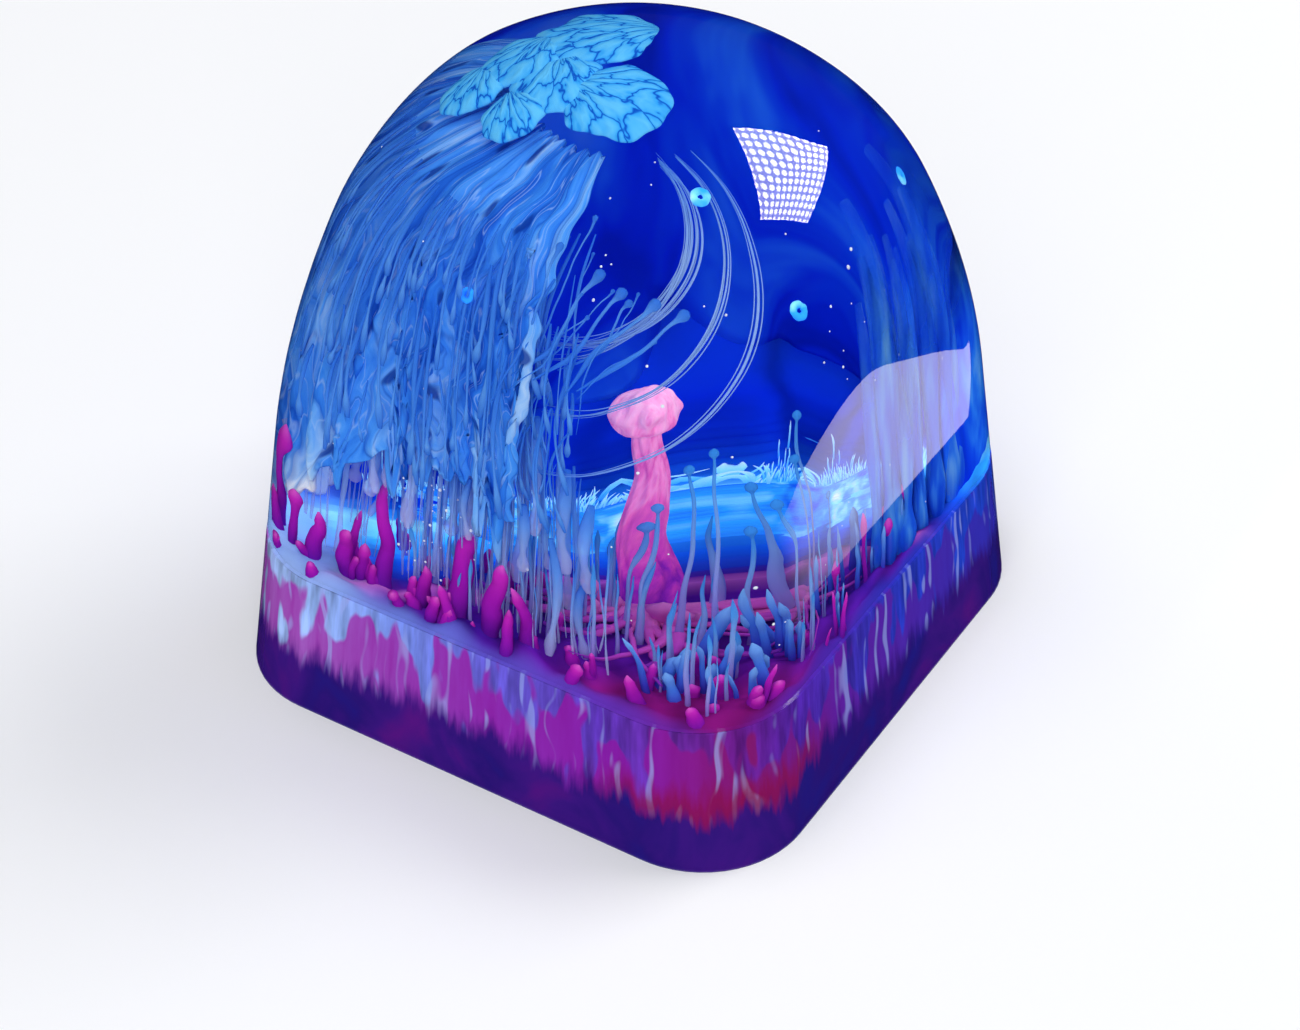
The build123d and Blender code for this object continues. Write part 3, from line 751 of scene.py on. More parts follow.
def makeDrips():
    dice = random.Random(drip["seed"])
    drips = []
    face, edge = drip["face"], drip["edge"]
    for i in range(face["count"]):
        share = (i * face["stride"] % face["count"] + dice.random()) / face["count"]
        degrees = between(face["from"], face["to"], share)
        foot = dice.uniform(face["bottom"], face["top"] - face["lengths"][0])
        top = min(foot + dice.uniform(*face["lengths"]), face["top"])
        width, sway = draws(dice, face, "widths", "sways")
        drips.append(hangingStrand(degrees, top, foot, face["depth"], width, sway, i, face["drop"]))
    for i in range(edge["count"]):
        foot, length, degrees, depth, width, sway = draws(dice, edge, "feet", "lengths", "turns", "depths",
                                                          "widths", "sways")
        top = min(foot + length, edge["top"])
        drips.append(hangingStrand(degrees, top, foot, depth, width, sway, i, edge["drop"]))
    strandPiece("veilDrips", drips, dripInk, "pale_veil")


makeHanging()
makeDrips()

# Lobed blooms under the crown, split by dark cracks, two large ones and smaller ones that trail to the left
bloom = {
    "places": ((-1.71, 0.99, 1.5), (0.27, -1.26, 1.35), (-2.97, -0.54, 1.2), (-1.53, -1.26, 1.15),
               (-3.69, -1.71, 0.9), (-1.98, -2.52, 0.85)),  # x, y and radius
    "cover": 0.87, "thickness": 0.5, "step": 0.05, "across": 96, "rings": 60, "edge": 0.2, "lump": 0.06,
    "root": (1.1, -0.3), "fanTurns": 4.2, "fanReach": 0.9,
}


def makeBloomInk():
    material, tree = newMaterial("turquoiseInk")
    fan = addNode(tree, "ShaderNodeUVMap", uv_map="fan")  # direction and distance from a lobe's root
    push = addNode(tree, "ShaderNodeTexNoise", {"Vector": fan, "Scale": 1.3, "Detail": 2.0})
    bent = addNode(tree, "ShaderNodeVectorMath", {0: push.outputs["Color"], 1: (1.6, 1.6, 0.0), 2: fan},
                   operation="MULTIPLY_ADD")
    crack = addNode(tree, "ShaderNodeTexVoronoi", {"Vector": bent, "Scale": 0.95}, voronoi_dimensions="2D",
                    feature="DISTANCE_TO_EDGE")
    colour = addNode(tree, "ShaderNodeValToRGB", {"Fac": crack}, [
        (0.0, ink["crack"]), (0.03, "#1C74DC"), (0.06, "#36A6F8"), (0.16, "#4EB8FF"), (0.4, "#62C6FF"),
    ])
    inkShader(tree, colour, height=crack, strength=0.6, distance=0.12)
    return material


def makeBlooms():
    points, faces, fan = [], [], []
    across, rings = bloom["across"], bloom["rings"]
    ball = dome["crownRadius"] - bloom["cover"]
    for number, (x0, y0, size) in enumerate(bloom["places"]):
        outward = Vector((x0, y0, math.sqrt(ball ** 2 - x0 ** 2 - y0 ** 2))).normalized()
        turn = outward.to_track_quat("Z", "Y")
        first = len(points)
        for j in range(rings + 1):
            roll = math.pi * j / rings
            for i in range(across if 0 < j < rings else 1):
                angle = math.tau * i / across
                edge = 1 + bloom["edge"] * wave(*polar(1.9, angle), 3.7 * number)
                r = size * edge * math.sin(roll) ** 0.6
                x, y = polar(r, angle)
                drop = bloom["thickness"] * (0.5 - 0.5 * math.cos(roll)) + bloom["step"] * (number % 2)
                drop += r * r / (2 * ball)  # follows the crown
                lump = bloom["lump"] * wave(2.5 * x, 2.5 * y, number) * math.sin(roll)
                points.append(tuple(crownMiddle + turn @ Vector((x, y, ball - drop + lump))))
                x, y = x + bloom["root"][0] * size, y + bloom["root"][1] * size
                direction = bloom["fanTurns"] * math.atan2(y, x) + 9 * number
                fan.append((direction, bloom["fanReach"] * math.hypot(x, y)))
        last = len(points) - 1
        for i in range(across):
            k = (i + 1) % across
            faces += [(first, first + 1 + i, first + 1 + k), (last - across + i, last, last - across + k)]
        faces += ringFaces(first + 1, across, rings - 1, inward=True)
    piece = meshPiece("capBlooms", points, faces, makeBloomInk(), "cap_blooms")
    addPattern(piece, "fan", fan)


makeBlooms()
print("blooms made")

# Pink column with a lumpy head: violet at the foot, rose above, palest on the head, with fine upright grain
stalk = {
    "foot": (3.195, -2.61), "lean": math.radians(8), "footRadius": 0.34, "neckRadius": 0.17, "sunk": 0.2,
    "headRadius": 0.48, "headTall": 1.35, "headHeight": 6.0, "around": 96, "steps": 140,
    "ribs": 0.14, "fineRibs": 0.04, "lump": 0.4, "sway": 0.14,
}


def makeStalkInk():
    material, tree = newMaterial("pinkInk")
    place = addNode(tree, "ShaderNodeTexCoord").outputs["Object"]
    drawn = addNode(tree, "ShaderNodeMapping", {"Vector": place, "Scale": (1.0, 1.0, 0.12)})
    grain = addNode(tree, "ShaderNodeTexNoise", {"Vector": drawn, "Scale": 1 / (0.13 * mm), "Detail": 3.0})
    up = addNode(tree, "ShaderNodeSeparateXYZ", {"Vector": place}).outputs["Z"]
    high = addNode(tree, "ShaderNodeMapRange", {
        "Value": up, "From Min": dome["floor"] * mm, "From Max": 11.4 * mm})
    grained = addNode(tree, "ShaderNodeMath", {0: grain, 1: 0.55, 2: -0.28}, operation="MULTIPLY_ADD")
    tone = addNode(tree, "ShaderNodeMath", {0: high, 1: grained}, operation="ADD")
    colour = addNode(tree, "ShaderNodeValToRGB", {"Fac": tone}, [
        (0.0, ink["violet"]), (0.12, "#8A24B4"), (0.26, "#CC40BC"), (0.44, "#EC66C4"), (0.56, "#FA90D8"),
        (0.66, "#E05CBC"), (0.8, "#FC98DA"), (1.0, "#FFBCEA"),
    ])
    # Emission in the ink's own colours: painted light that lifts the shade on the column and its head
    inkShader(tree, colour, height=grain, strength=0.5, distance=0.15, paintedGlow=0.25)
    return material


def makeStalk():
    points = []
    around, steps = stalk["around"], stalk["steps"]
    rise, head = stalk["headHeight"], stalk["headRadius"]
    halfHead = stalk["headTall"] * head
    neck = rise - halfHead
    c, s = math.cos(stalk["lean"]), math.sin(stalk["lean"])
    for j in range(steps + 1):
        t = j / steps
        h = -stalk["sunk"] + t * (rise + halfHead + stalk["sunk"])
        column = between(stalk["neckRadius"], stalk["footRadius"], max(1 - h / neck, 0.0) ** 3)
        ball = math.sqrt(max(head ** 2 - ((h - rise) / stalk["headTall"]) ** 2, 0.0))
        radius = max(column if h < rise else 0.0, ball)
        for i in range(around):
            angle = math.tau * i / around
            rib = stalk["ribs"] * math.sin(5 * angle + 3.0 * wave(h, 1.0)) * (1 - t)
            rib += stalk["fineRibs"] * math.sin(11 * angle + h)
            lump = stalk["lump"] * wave(*polar(1.5, angle), 2.2 * h) * min(3 * max(h - neck, 0.0), 1.0)
            x, y = polar(radius * (1 + rib + lump), angle)
            x += stalk["sway"] * wave(0.6 * h, 4.0)
            y += stalk["sway"] * wave(0.6 * h, 9.0)
            leant = (x * c - h * s, y, h * c + x * s)
            points.append(tuple(a + b for a, b in zip(stalk["foot"] + (dome["floor"],), leant)))
    faces = ringFaces(0, around, steps + 1) + [tuple(reversed(range(around)))]
    meshPiece("pinkStalk", points, faces, makeStalkInk(), "pink_stalk")


makeStalk()
print("stalk made")


# Fingers: every frond, plume and thread that stands on the floor, as points with a radius
def finger(dice, foot, height, width, lean, bulb=1.0, bend=0.0):
    turn = dice.uniform(0, math.tau)
    steps = 8
    bulbFrom = 0.72
    sunk = 0.15
    points = []
    for k in range(steps + 1):
        t = k / steps
        x, y = polar(lean * height * t + bend * height * t * t, turn)
        r = width * (1.15 - 0.55 * t)
        if t > bulbFrom:
            r = width * (0.6 + (bulb - 0.6) * math.sin(math.pi * min((t - bulbFrom) / 0.28, 1.0)))
        r *= 1 + 0.3 * wave(4 * t, turn, 8.0)
        if k == steps:
            r = width * 0.12
        points.append((foot[0] + x, foot[1] + y, dome["floor"] - sunk + (height + sunk) * t, r))
    return points


def crowd(dice, field):
    # Fingers strewn over a rectangle of the floor
    fingers = []
    for i in range(field["count"]):
        x, y, tall, width = draws(dice, field, "x", "y", "tall", "width")
        bulb = field["bulbs"][i % len(field["bulbs"])]
        fingers.append(finger(dice, (x, y), tall, width, field["lean"], bulb, field["bend"]))
    return fingers


def variedFinger(dice, foot, field):
    tall, width, bulb = draws(dice, field, "tall", "width", "bulb")
    return finger(dice, foot, tall, width, field["lean"], bulb, field["bend"])


# Pink ropes that trail from the column's foot over the floor to the front, pale at first, violet at the end
footX, footY = stalk["foot"]
rope = {
    "count": 34, "aims": (-150, 20), "reaches": (1.5, 5.0), "turns": (-0.9, 0.9), "widths": (0.04, 0.15),
    "steps": 10, "limit": 7.6, "above": 0.35, "height": 0.25, "seed": 61,
    "knobs": {"count": 6, "x": (footX - 0.9, footX + 0.9), "y": (footY - 1.4, footY - 0.3),
              "tall": (0.7, 1.6), "width": (0.07, 0.13), "lean": 0.2, "bulbs": (1.8,), "bend": 0.0},
}
ropeInk = strandInk("paleRoseInk", [
    (0.0, "#F088DC"), (0.4, "#E060D0"), (0.75, "#C044C8"), (1.0, "#8A34C0"),
], 0.85)


def makeRopes():
    dice = random.Random(rope["seed"])
    strands = []
    for i in range(rope["count"]):
        aim, reach, turn, width = draws(dice, rope, "aims", "reaches", "turns", "widths")
        strand = []
        for k in range(rope["steps"] + 1):
            t = k / rope["steps"]
            x, y = polar(reach * t, math.radians(aim) + turn * t * t)
            x, y = footX + x, footY + y
            inside = rope["limit"] / max(abs(x), abs(y), rope["limit"])
            z = dome["floor"] + rope["above"] + rope["height"] * dice.random()
            taper = 0.4 + 0.6 * math.sin(math.pi * (0.15 + 0.8 * t))
            strand.append((x * inside, y * inside, z, width * taper))
        strands.append(strand)
    strands += [knob[::-1] for knob in crowd(dice, rope["knobs"])]
    strandPiece("pinkRopes", strands, ropeInk, wiggle=0.5, wiggleSize=1.4)


makeRopes()

# Stubby magenta fronds along the front wall, violet at the foot and pink at the tip
frond = {
    "count": 7, "first": (-5.8, -7.0), "last": (1.4, -7.0), "radius": 0.42, "height": 1.9, "step": 0.6,
    "talls": (0.8, 1.15), "widths": (0.55, 0.95), "bulbs": (0.62, 0.9), "lean": 0.1, "bend": 0.2, "seed": 4,
}
# The bed between them: larger ones that crowd the left-hand end, thin ones that end in a knob (x, y, height
# and radius), low ones over the front, small ones close along the wall
frondBed = {
    "side": {"count": 8, "from": -6.6, "reach": 6.0, "y": (-7.4, -6.0), "tall": (0.5, 1.9),
             "width": (0.12, 0.3), "lean": 0.15, "bulb": (0.65, 1.1), "bend": 0.35},
    "knobs": ((-6.9, -5.9, 3.6, 0.15), (-6.4, -6.9, 2.2, 0.14), (6.9, -0.6, 2.6, 0.1),
              (6.6, -2.0, 2.0, 0.12), (7.0, 1.6, 2.4, 0.12), (6.3, 2.4, 1.8, 0.16),
              (7.1, 0.6, 1.7, 0.14), (5.9, 1.2, 1.5, 0.13)),
    "knobLean": 0.06, "knobBulb": 2.2,
    "low": {"count": 30, "x": (-4.0, 7.2), "y": (-7.3, -3.4), "tall": (0.4, 1.1), "width": (0.1, 0.26),
            "lean": 0.15, "bulbs": (0.9,), "bend": 0.0},
    "rim": {"count": 22, "turns": (212, 372), "depths": (0.3, 0.9), "tall": (0.2, 1.3),
            "width": (0.06, 0.26), "lean": 0.12, "bulb": (0.6, 1.2), "bend": 0.3},
}
frondInk = strandInk("magentaInk", [
    (0.0, "#5C1AA4"), (0.25, "#8418AA"), (0.6, "#A81AB2"), (0.88, "#C428B8"), (1.0, "#DC58C8"),
])


def makeFronds():
    dice = random.Random(frond["seed"])
    strands = []
    for i in range(frond["count"]):
        share = i / (frond["count"] - 1)
        foot = [between(a, b, share) for a, b in zip(frond["first"], frond["last"])]
        tall, width, bulb = draws(dice, frond, "talls", "widths", "bulbs")
        tall *= frond["height"] + frond["step"] * (i % 3)
        strands.append(finger(dice, foot, tall, frond["radius"] * width, frond["lean"], bulb, frond["bend"]))
    strandPiece("magentaFronds", strands, frondInk, "magenta_fronds", sides=12, step=0.1,
                wiggle=1.3, wiggleSize=1.5)
    bed = []
    side, rim = frondBed["side"], frondBed["rim"]
    for i in range(side["count"]):
        foot = (side["from"] + side["reach"] * dice.random() ** 1.5, dice.uniform(*side["y"]))
        bed.append(variedFinger(dice, foot, side))
    for x, y, tall, width in frondBed["knobs"]:
        bed.append(finger(dice, (x, y), tall, width, frondBed["knobLean"], frondBed["knobBulb"]))
    bed += crowd(dice, frondBed["low"])
    for i in range(rim["count"]):
        degrees, depth = draws(dice, rim, "turns", "depths")
        bed.append(variedFinger(dice, underSkin(degrees, dome["floor"], depth), rim))
    strandPiece("frondBed", bed, frondInk, sides=9, step=0.1, wiggle=0.6, wiggleSize=1.3)


makeFronds()

# Beaded threads round the column, and finer ones between them: lilac at the foot, clear blue at the tip
thread = {"count": 10, "start": math.radians(-80), "end": math.radians(30), "nearest": 1.4, "spread": 1.2,
          "golden": 0.618, "height": 3.6, "step": 0.9, "radius": 0.05, "bead": 0.14, "beadWidth": 0.8,
          "seed": 23}
fineThread = {"count": 84, "x": (-4.0, 7.2), "y": (-7.4, -2.4), "tall": (1.2, 3.6), "width": (0.025, 0.07),
              "lean": 0.03, "bulbs": (1.7, 0.7, 0.7), "bend": 0.0}
threadInk = strandInk("skyBlueInk", [
    (0.0, "#9468DC"), (0.25, "#A898F0"), (0.6, "#8CB4F6"), (0.85, "#54A4F6"), (1.0, "#3C96F0"),
], 0.75)


def makeThreads():
    strands = []
    for i in range(thread["count"]):
        turn = between(thread["start"], thread["end"], i * thread["golden"] % 1)
        x, y = polar(thread["nearest"] + thread["spread"] * i / (thread["count"] - 1), turn)
        tall = thread["height"] + thread["step"] * (i % 4)
        profile = [(-0.2, 1.6), (0.4, 1.1), (tall * 0.4, 0.8), (tall * 0.75, 0.75), (tall - 0.45, 0.8)]
        profile = [(h, thread["radius"] * r) for h, r in profile]
        for k in range(-3, 4):
            r = thread["bead"] * thread["beadWidth"] * math.sqrt(1 - (k / 3) ** 2)
            profile.append((tall + thread["bead"] * k / 3, max(r, 0.02)))
        strands.append([(footX + x, footY + y, dome["floor"] + h, r) for h, r in profile])
    strandPiece("ballThreads", strands, threadInk, "ball_threads", sides=10, step=0.05,
                wiggle=0.6, wiggleSize=2.5)
    fine = crowd(random.Random(thread["seed"]), fineThread)
    strandPiece("fineThreads", fine, threadInk, sides=6, step=0.14, wiggle=0.5, wiggleSize=1.8)


makeThreads()

# Blue plumes by the right-hand wall, with thin wisps along it and fat low ones near the front corner
plume = {"count": 4, "x": 5.4, "first": -0.36, "last": 4.41, "radius": 0.26, "height": 2.4, "step": 0.6,
         "seed": 31}
wisp = {
    "thin": {"count": 46, "x": (5.6, 7.4), "y": (-6.5, 5.0), "tall": (0.8, 2.8), "width": (0.05, 0.13),
             "lean": 0.08, "bulbs": (1.1,), "bend": 0.0},
    "fat": {"count": 12, "x": (4.6, 7.3), "y": (-7.2, -3.2), "tall": (0.8, 2.2), "width": (0.08, 0.17),
            "lean": 0.1, "bulbs": (1.2,), "bend": 0.2},
}
plumeInk = strandInk("blueInk", [
    (0.0, ink["violet"]), (0.25, "#4448DC"), (0.6, "#4C84F2"), (1.0, "#7CB4FA"),
], 0.85)
# Tall see-through runs up the same wall, streaked bright blue
streak = {"count": 26, "turns": (2, 34), "tops": (9.0, 16.2), "depths": (0.9, 1.7), "widths": (0.2, 0.6),
          "sways": (-2, 2)}


def makeStreakInk():
    material, tree = newMaterial("brightBlueInk")
    place = addNode(tree, "ShaderNodeTexCoord").outputs["Object"]
    drawn = addNode(tree, "ShaderNodeMapping", {"Vector": place, "Scale": (1.0, 1.0, 0.15)})
    grain = addNode(tree, "ShaderNodeTexNoise", {"Vector": drawn, "Scale": 1 / (0.6 * mm), "Detail": 2.0})
    colour = addNode(tree, "ShaderNodeValToRGB", {"Fac": grain}, [
        (0.35, "#1450EE"), (0.48, "#246AF8"), (0.58, "#3E8EFC"), (0.7, "#6AB0FA"),
    ])
    along = addNode(tree, "ShaderNodeAttribute", attribute_name="along").outputs["Fac"]
    cover = addNode(tree, "ShaderNodeMapRange", {  # fades out at its top
        "Value": along, "From Max": 0.6, "To Min": 0.1, "To Max": 0.7,
    }, interpolation_type="SMOOTHSTEP")
    inkShader(tree, colour, cover)
    return material


def makePlumes():
    dice = random.Random(plume["seed"])
    plumes = []
    for i in range(plume["count"]):
        y = between(plume["first"], plume["last"], i / (plume["count"] - 1))
        tall = plume["height"] + plume["step"] * (i % 3)
        plumes.append(finger(dice, (plume["x"], y), tall, plume["radius"], 0.08, 0.9))
    strandPiece("bluePlumes", plumes, plumeInk, "blue_plumes", sides=12, step=0.1, wiggle=0.6)
    wisps = crowd(dice, wisp["thin"]) + crowd(dice, wisp["fat"])
    strandPiece("plumeWisps", wisps, plumeInk, sides=7, wiggle=0.6, wiggleSize=1.5)
    streaks = []
    for i in range(streak["count"]):
        degrees, top, depth, width, sway = draws(dice, streak, "turns", "tops", "depths", "widths", "sways")
        streaks.append(hangingStrand(degrees, top, dome["floor"], depth, width, sway, i))
    strandPiece("wallStreaks", streaks, makeStreakInk(), step=0.16, wiggle=0.4, wiggleSize=3.0)


makePlumes()

# Swirl of turquoise over the floor, combed into fine strands, speckled from blue to nearly white; the nearly
# white flecks are painted sparkle of light
swirl = {"centre": (-5.4, 8.19), "radius": 9.0, "width": 2.5, "height": 0.55, "start": math.radians(-88),
         "end": math.radians(-24), "count": 190, "seed": 8, "above": 0.03, "begins": (0.0, 0.6),
         "lengths": (0.25, 0.4), "widths": (0.05, 0.11), "sway": 0.12, "steps": 8}


def makeSwirlInk():
    material, tree = newMaterial("combedTurquoiseInk")
    place = addNode(tree, "ShaderNodeTexCoord").outputs["Object"]
    speckle = addNode(tree, "ShaderNodeTexNoise", {"Vector": place, "Scale": 1 / (0.8 * mm), "Detail": 2.0})
    colour = addNode(tree, "ShaderNodeValToRGB", {"Fac": speckle}, [
        (0.3, ink["blue"]), (0.42, "#2C90F8"), (0.52, ink["turquoise"]), (0.64, ink["cyan"]),
        (0.78, "#E2F8FF"),
    ])
    # Emission in the ink's own colours: painted light on the swirl, and on the ring drops that share its ink
    inkShader(tree, colour, paintedGlow=0.35)
    return material


swirlInk = makeSwirlInk()


def makeSwirl():
    dice = random.Random(swirl["seed"])
    strands = []
    for i in range(swirl["count"]):
        off = dice.uniform(-1, 1)
        z = dome["floor"] + swirl["above"] + swirl["height"] * (1 - off * off) * dice.uniform(0.5, 1.0)
        begin, length, width = draws(dice, swirl, "begins", "lengths", "widths")
        strand = []
        for k in range(swirl["steps"] + 1):
            t = k / swirl["steps"]
            a = between(swirl["start"], swirl["end"], begin + length * t)
            r = swirl["radius"] + off * swirl["width"] / 2 + swirl["sway"] * math.sin(11 * a + 3 * off)
            x, y = polar(r, a)
            taper = 0.25 + 0.75 * math.sin(math.pi * t)
            strand.append((swirl["centre"][0] + x, swirl["centre"][1] + y, z, width * taper))
        strands.append(strand)
    strandPiece("turquoiseSwirl", strands, swirlInk, "turquoise_swirl", sides=6, step=0.16,
                wiggle=0.3, wiggleSize=1.2)


makeSwirl()

# Long pale tendrils that curl from under the blooms to the veil's edge, each with finer lines beside it.
# A place is a direction in degrees, a height and a depth under the dome's skin, with a step to the next one.
tendril = {
    "radius": 0.035, "fine": (16, 4, 2), "fineWidths": (0.01, 0.026), "loose": 0.09, "steps": 14, "seed": 17,
    "top": (316, 16.5, 2.0), "topStep": (10, 0, 0), "topLoose": 0.3,
    "middle": (314, 14.7, 2.2), "middleStep": (5, -0.8, -0.3), "middleLoose": 1.0,
    "end": (283, 13.5, 2.0), "endStep": (0, -1.6, -0.3), "endLoose": 2.0,
}
# Sprigs that end in a drop, by the edge of the veil
sprig = {
    "count": 4, "radius": 0.07, "drop": 0.13,
    "foot": (282, 13.5, 1.25), "footStep": (5, 0, 0), "footLoose": 0.5,
    "tip": (293, 15.5, 1.25), "tipStep": (7, -0.25, 0), "tipLoose": 0.6,
    "fine": 9, "fineSteps": (-1.6, 3.0), "fineWidths": (0.25, 0.7), "bow": 0.35,
    "stem": ((-0.35, 0.25), (-0.1, 0.7), (0.15, 1.1), (0.4, 0.75), (0.6, 0.6), (0.8, 0.55)),
    "head": ((-1.6, 0.5), (-0.5, 1.1), (0.3, 1.2), (0.9, 0.8), (1.1, 0.1)),  # along it and radius
}
tendrilInk = strandInk("greyBlueInk", [
    (0.0, "#5C9CF4"), (0.4, "#9CC0F8"), (0.75, "#86B0F6"), (1.0, "#4C8CF0"),
], 0.75)
towardsEye = Vector((0.527, -0.85, 0.6))


def stepped(dice, piece, name, number, loose):
    spread = [share * dice.gauss(0, loose) for share in (4, 1, 0.6)]
    return underSkin(*(a + b * number + c for a, b, c in zip(piece[name], piece[name + "Step"], spread)))


def makeTendrils(dice):
    strands = []
    steps = tendril["steps"]
    for i, fine in enumerate(tendril["fine"]):
        for k in range(fine + 1):
            loose = tendril["loose"] if k else 0.0
            places = [stepped(dice, tendril, name, i, tendril[name + "Loose"] * loose)
                      for name in ("top", "middle", "end")]
            width = dice.uniform(*tendril["fineWidths"]) if k else tendril["radius"]
            strands.append([tuple(p) + (width * (0.3 + 0.7 * math.sin(math.pi * n / steps)),)
                            for n, p in enumerate(arcThrough(*places, steps))])
    strandPiece("paleTendrils", strands, tendrilInk, "pale_veil", step=0.1, wiggle=0.2,
                wiggleSize=3.0)


def makeSprigs(dice):
    strands = []
    for i in range(sprig["count"] + sprig["fine"]):
        main = i < sprig["count"]
        number = i if main else dice.uniform(*sprig["fineSteps"])
        foot = stepped(dice, sprig, "foot", number, 0.0 if main else sprig["footLoose"])
        tip = stepped(dice, sprig, "tip", number, 0.0 if main else sprig["tipLoose"])
        share = 1.0 if main else dice.uniform(*sprig["fineWidths"])
        line = tip - foot
        along = line.normalized()
        aside = along.cross(towardsEye).normalized() * sprig["bow"] * dice.uniform(-1, 1)
        strand = []
        for t, r in sprig["stem"]:
            sway = aside * math.sin(1.5 * math.pi * t) * (1 - t)
            strand.append(tuple(foot + line * t + sway) + (sprig["radius"] * share * r,))
        size = sprig["drop"] * share
        strands.append(strand + [tuple(tip + along * size * h) + (size * r,) for h, r in sprig["head"]])
    strandPiece("sprigs", strands, dripInk, "pale_veil", step=0.04, wiggle=0.5, wiggleSize=1.2)


tendrilDice = random.Random(tendril["seed"])
makeTendrils(tendrilDice)
makeSprigs(tendrilDice)

# Ring-shaped drops that floated free: direction, height, depth, and radius
ringDrops = {
    "places": ((326, 16.4, 1.5, 0.16), (341, 13.9, 1.6, 0.15),
               (40, 14.0, 1.6, 0.12), (262, 14.6, 0.9, 0.13)),
    "tube": 0.6, "uneven": 0.3, "around": 40, "section": 16,
}


def makeRings():
    points, faces = [], []
    around, section = ringDrops["around"], ringDrops["section"]
    for degrees, z, depth, size in ringDrops["places"]:
        spot = underSkin(degrees, z, depth)
        turn = (spot - crownMiddle).to_track_quat("Z", "Y")
        first = len(points)
        for i in range(around):
            a = math.tau * i / around
            tube = size * ringDrops["tube"] * (1 + ringDrops["uneven"] * wave(*polar(2, a), degrees))
            for j in range(section):
                out, rise = polar(tube, math.tau * j / section)
                points.append(tuple(spot + turn @ Vector(polar(size + out, a) + (rise,))))
                here, there = first + i * section, first + (i + 1) % around * section
                n = (j + 1) % section
                faces.append((here + j, there + j, there + n, here + n))
    # The swirl's ink, with its painted light and painted sparkle
    meshPiece("ringDrops", points, faces, swirlInk)


makeRings()

# Fine fur on the crest of the turquoise layers, and pale feathers behind it, nearly white at the tips
crest = {"fur": 620, "feathers": 26, "far": 2.2, "seed": 41, "along": (-6.0, 6.5), "limit": 6.4,
         "loose": 0.25, "sway": 0.5, "tall": (0.2, 0.6), "width": 0.026, "featherFar": (0.4, 2.2),
         "featherTall": (0.6, 1.2), "featherWidth": 0.035, "widths": (0.6, 1.2), "lean": 0.15, "bend": 0.15}
# Emission in the ink's own colours: painted light on the fur and feathers
furInk = strandInk("paleCyanInk", [
    (0.0, "#1E8CFF"), (0.4, "#58C4FF"), (0.8, "#A8ECFF"), (1.0, "#DCF8FF"),
], 0.85, paintedGlow=0.35)


def makeCrest():
    dice = random.Random(crest["seed"])
    strands = []
    for i in range(crest["fur"] + crest["feathers"]):
        feather = i >= crest["fur"]
        along = dice.uniform(*crest["along"])
        behind = dice.uniform(*crest["featherFar"]) if feather else dice.gauss(0, crest["loose"])
        far = crest["far"] + behind + crest["sway"] * wave(along / 2, 3.0)
        x, y = farDirection[:2]
        foot = (x * far + y * along, y * far - x * along)
        if max(abs(foot[0]), abs(foot[1])) > crest["limit"]:
            continue
        tall = dice.uniform(*crest["featherTall" if feather else "tall"])
        width = crest["featherWidth" if feather else "width"] * dice.uniform(*crest["widths"])
        strands.append(finger(dice, foot, tall, width, crest["lean"], 1.0, crest["bend"]))
    strandPiece("crestFur", strands, furInk, sides=6, wiggle=0.3, wiggleSize=1.0)


makeCrest()

# Tiny air bubbles caught in the resin, painted white to stand for the light they catch, every third one in a
# cluster by the hem of the veil
bubble = {"count": 130, "seed": 5, "smallest": 0.02, "largest": 0.055, "turns": (200, 400),
          "heights": (5.5, 16.5), "depths": (0.6, 3.0), "clusterTurn": (256, 5), "clusterHeight": (8.0, 1.2)}


def makeBubbleSkin():
    material, tree = newMaterial("trappedAir")
    # Near-white base colour: painted sparkle, the light the bubbles catch
    finishMaterial(tree, "ShaderNodeBsdfPrincipled", {
        "Base Color": linear("#F4FAFF"), "Roughness": 0.15, "Specular IOR Level": 0.8})
    return material


def makeBubbleTree():
    group, start = beginTree("trappedBubbles", ())
    spots = addNode(group, "GeometryNodeMeshToPoints", {"Mesh": start["Geometry"]})
    ball = addNode(group, "GeometryNodeMeshIcoSphere", {"Radius": 1.0, "Subdivisions": 2})
    own = addNode(group, "GeometryNodeInputNamedAttribute", {"Name": "size"}, data_type="FLOAT")
    placed = addNode(group, "GeometryNodeInstanceOnPoints", {
        "Points": spots, "Instance": ball, "Scale": own})
    endTree(group, placed, start["Material"])
    return group


def makeBubbles():
    dice = random.Random(bubble["seed"])
    places, sizes = [], []
    for i in range(bubble["count"]):
        degrees, z = draws(dice, bubble, "turns", "heights")
        if i % 3 == 0:
            degrees, z = dice.gauss(*bubble["clusterTurn"]), dice.gauss(*bubble["clusterHeight"])
        places.append(underSkin(degrees, z, dice.uniform(*bubble["depths"])) * mm)
        growth = (bubble["largest"] / bubble["smallest"]) ** (dice.random() ** 2)
        sizes.append(mm * bubble["smallest"] * growth)
    seeds = bpy.data.meshes.new("bubbleSeeds")
    seeds.from_pydata(places, [], [])
    size = seeds.attributes.new("size", "FLOAT", "POINT")
    for item, value in zip(size.data, sizes):
        item.value = value
    grownPiece("airBubbles", seeds, makeBubbleTree(), {"Material": makeBubbleSkin()})


makeBubbles()


# Everything round the part, which is no part of it
def stageSheet(name, corners, face, material):
    mesh = bpy.data.meshes.new(name)
    mesh.from_pydata(corners, [], [face])
    mesh.materials.append(material)
    sheet = bpy.data.objects.new(name, mesh)
    scene.collection.objects.link(sheet)
    return sheet


square = ((-1, -1), (1, -1), (1, 1), (-1, 1))
floorHalf = 1.2
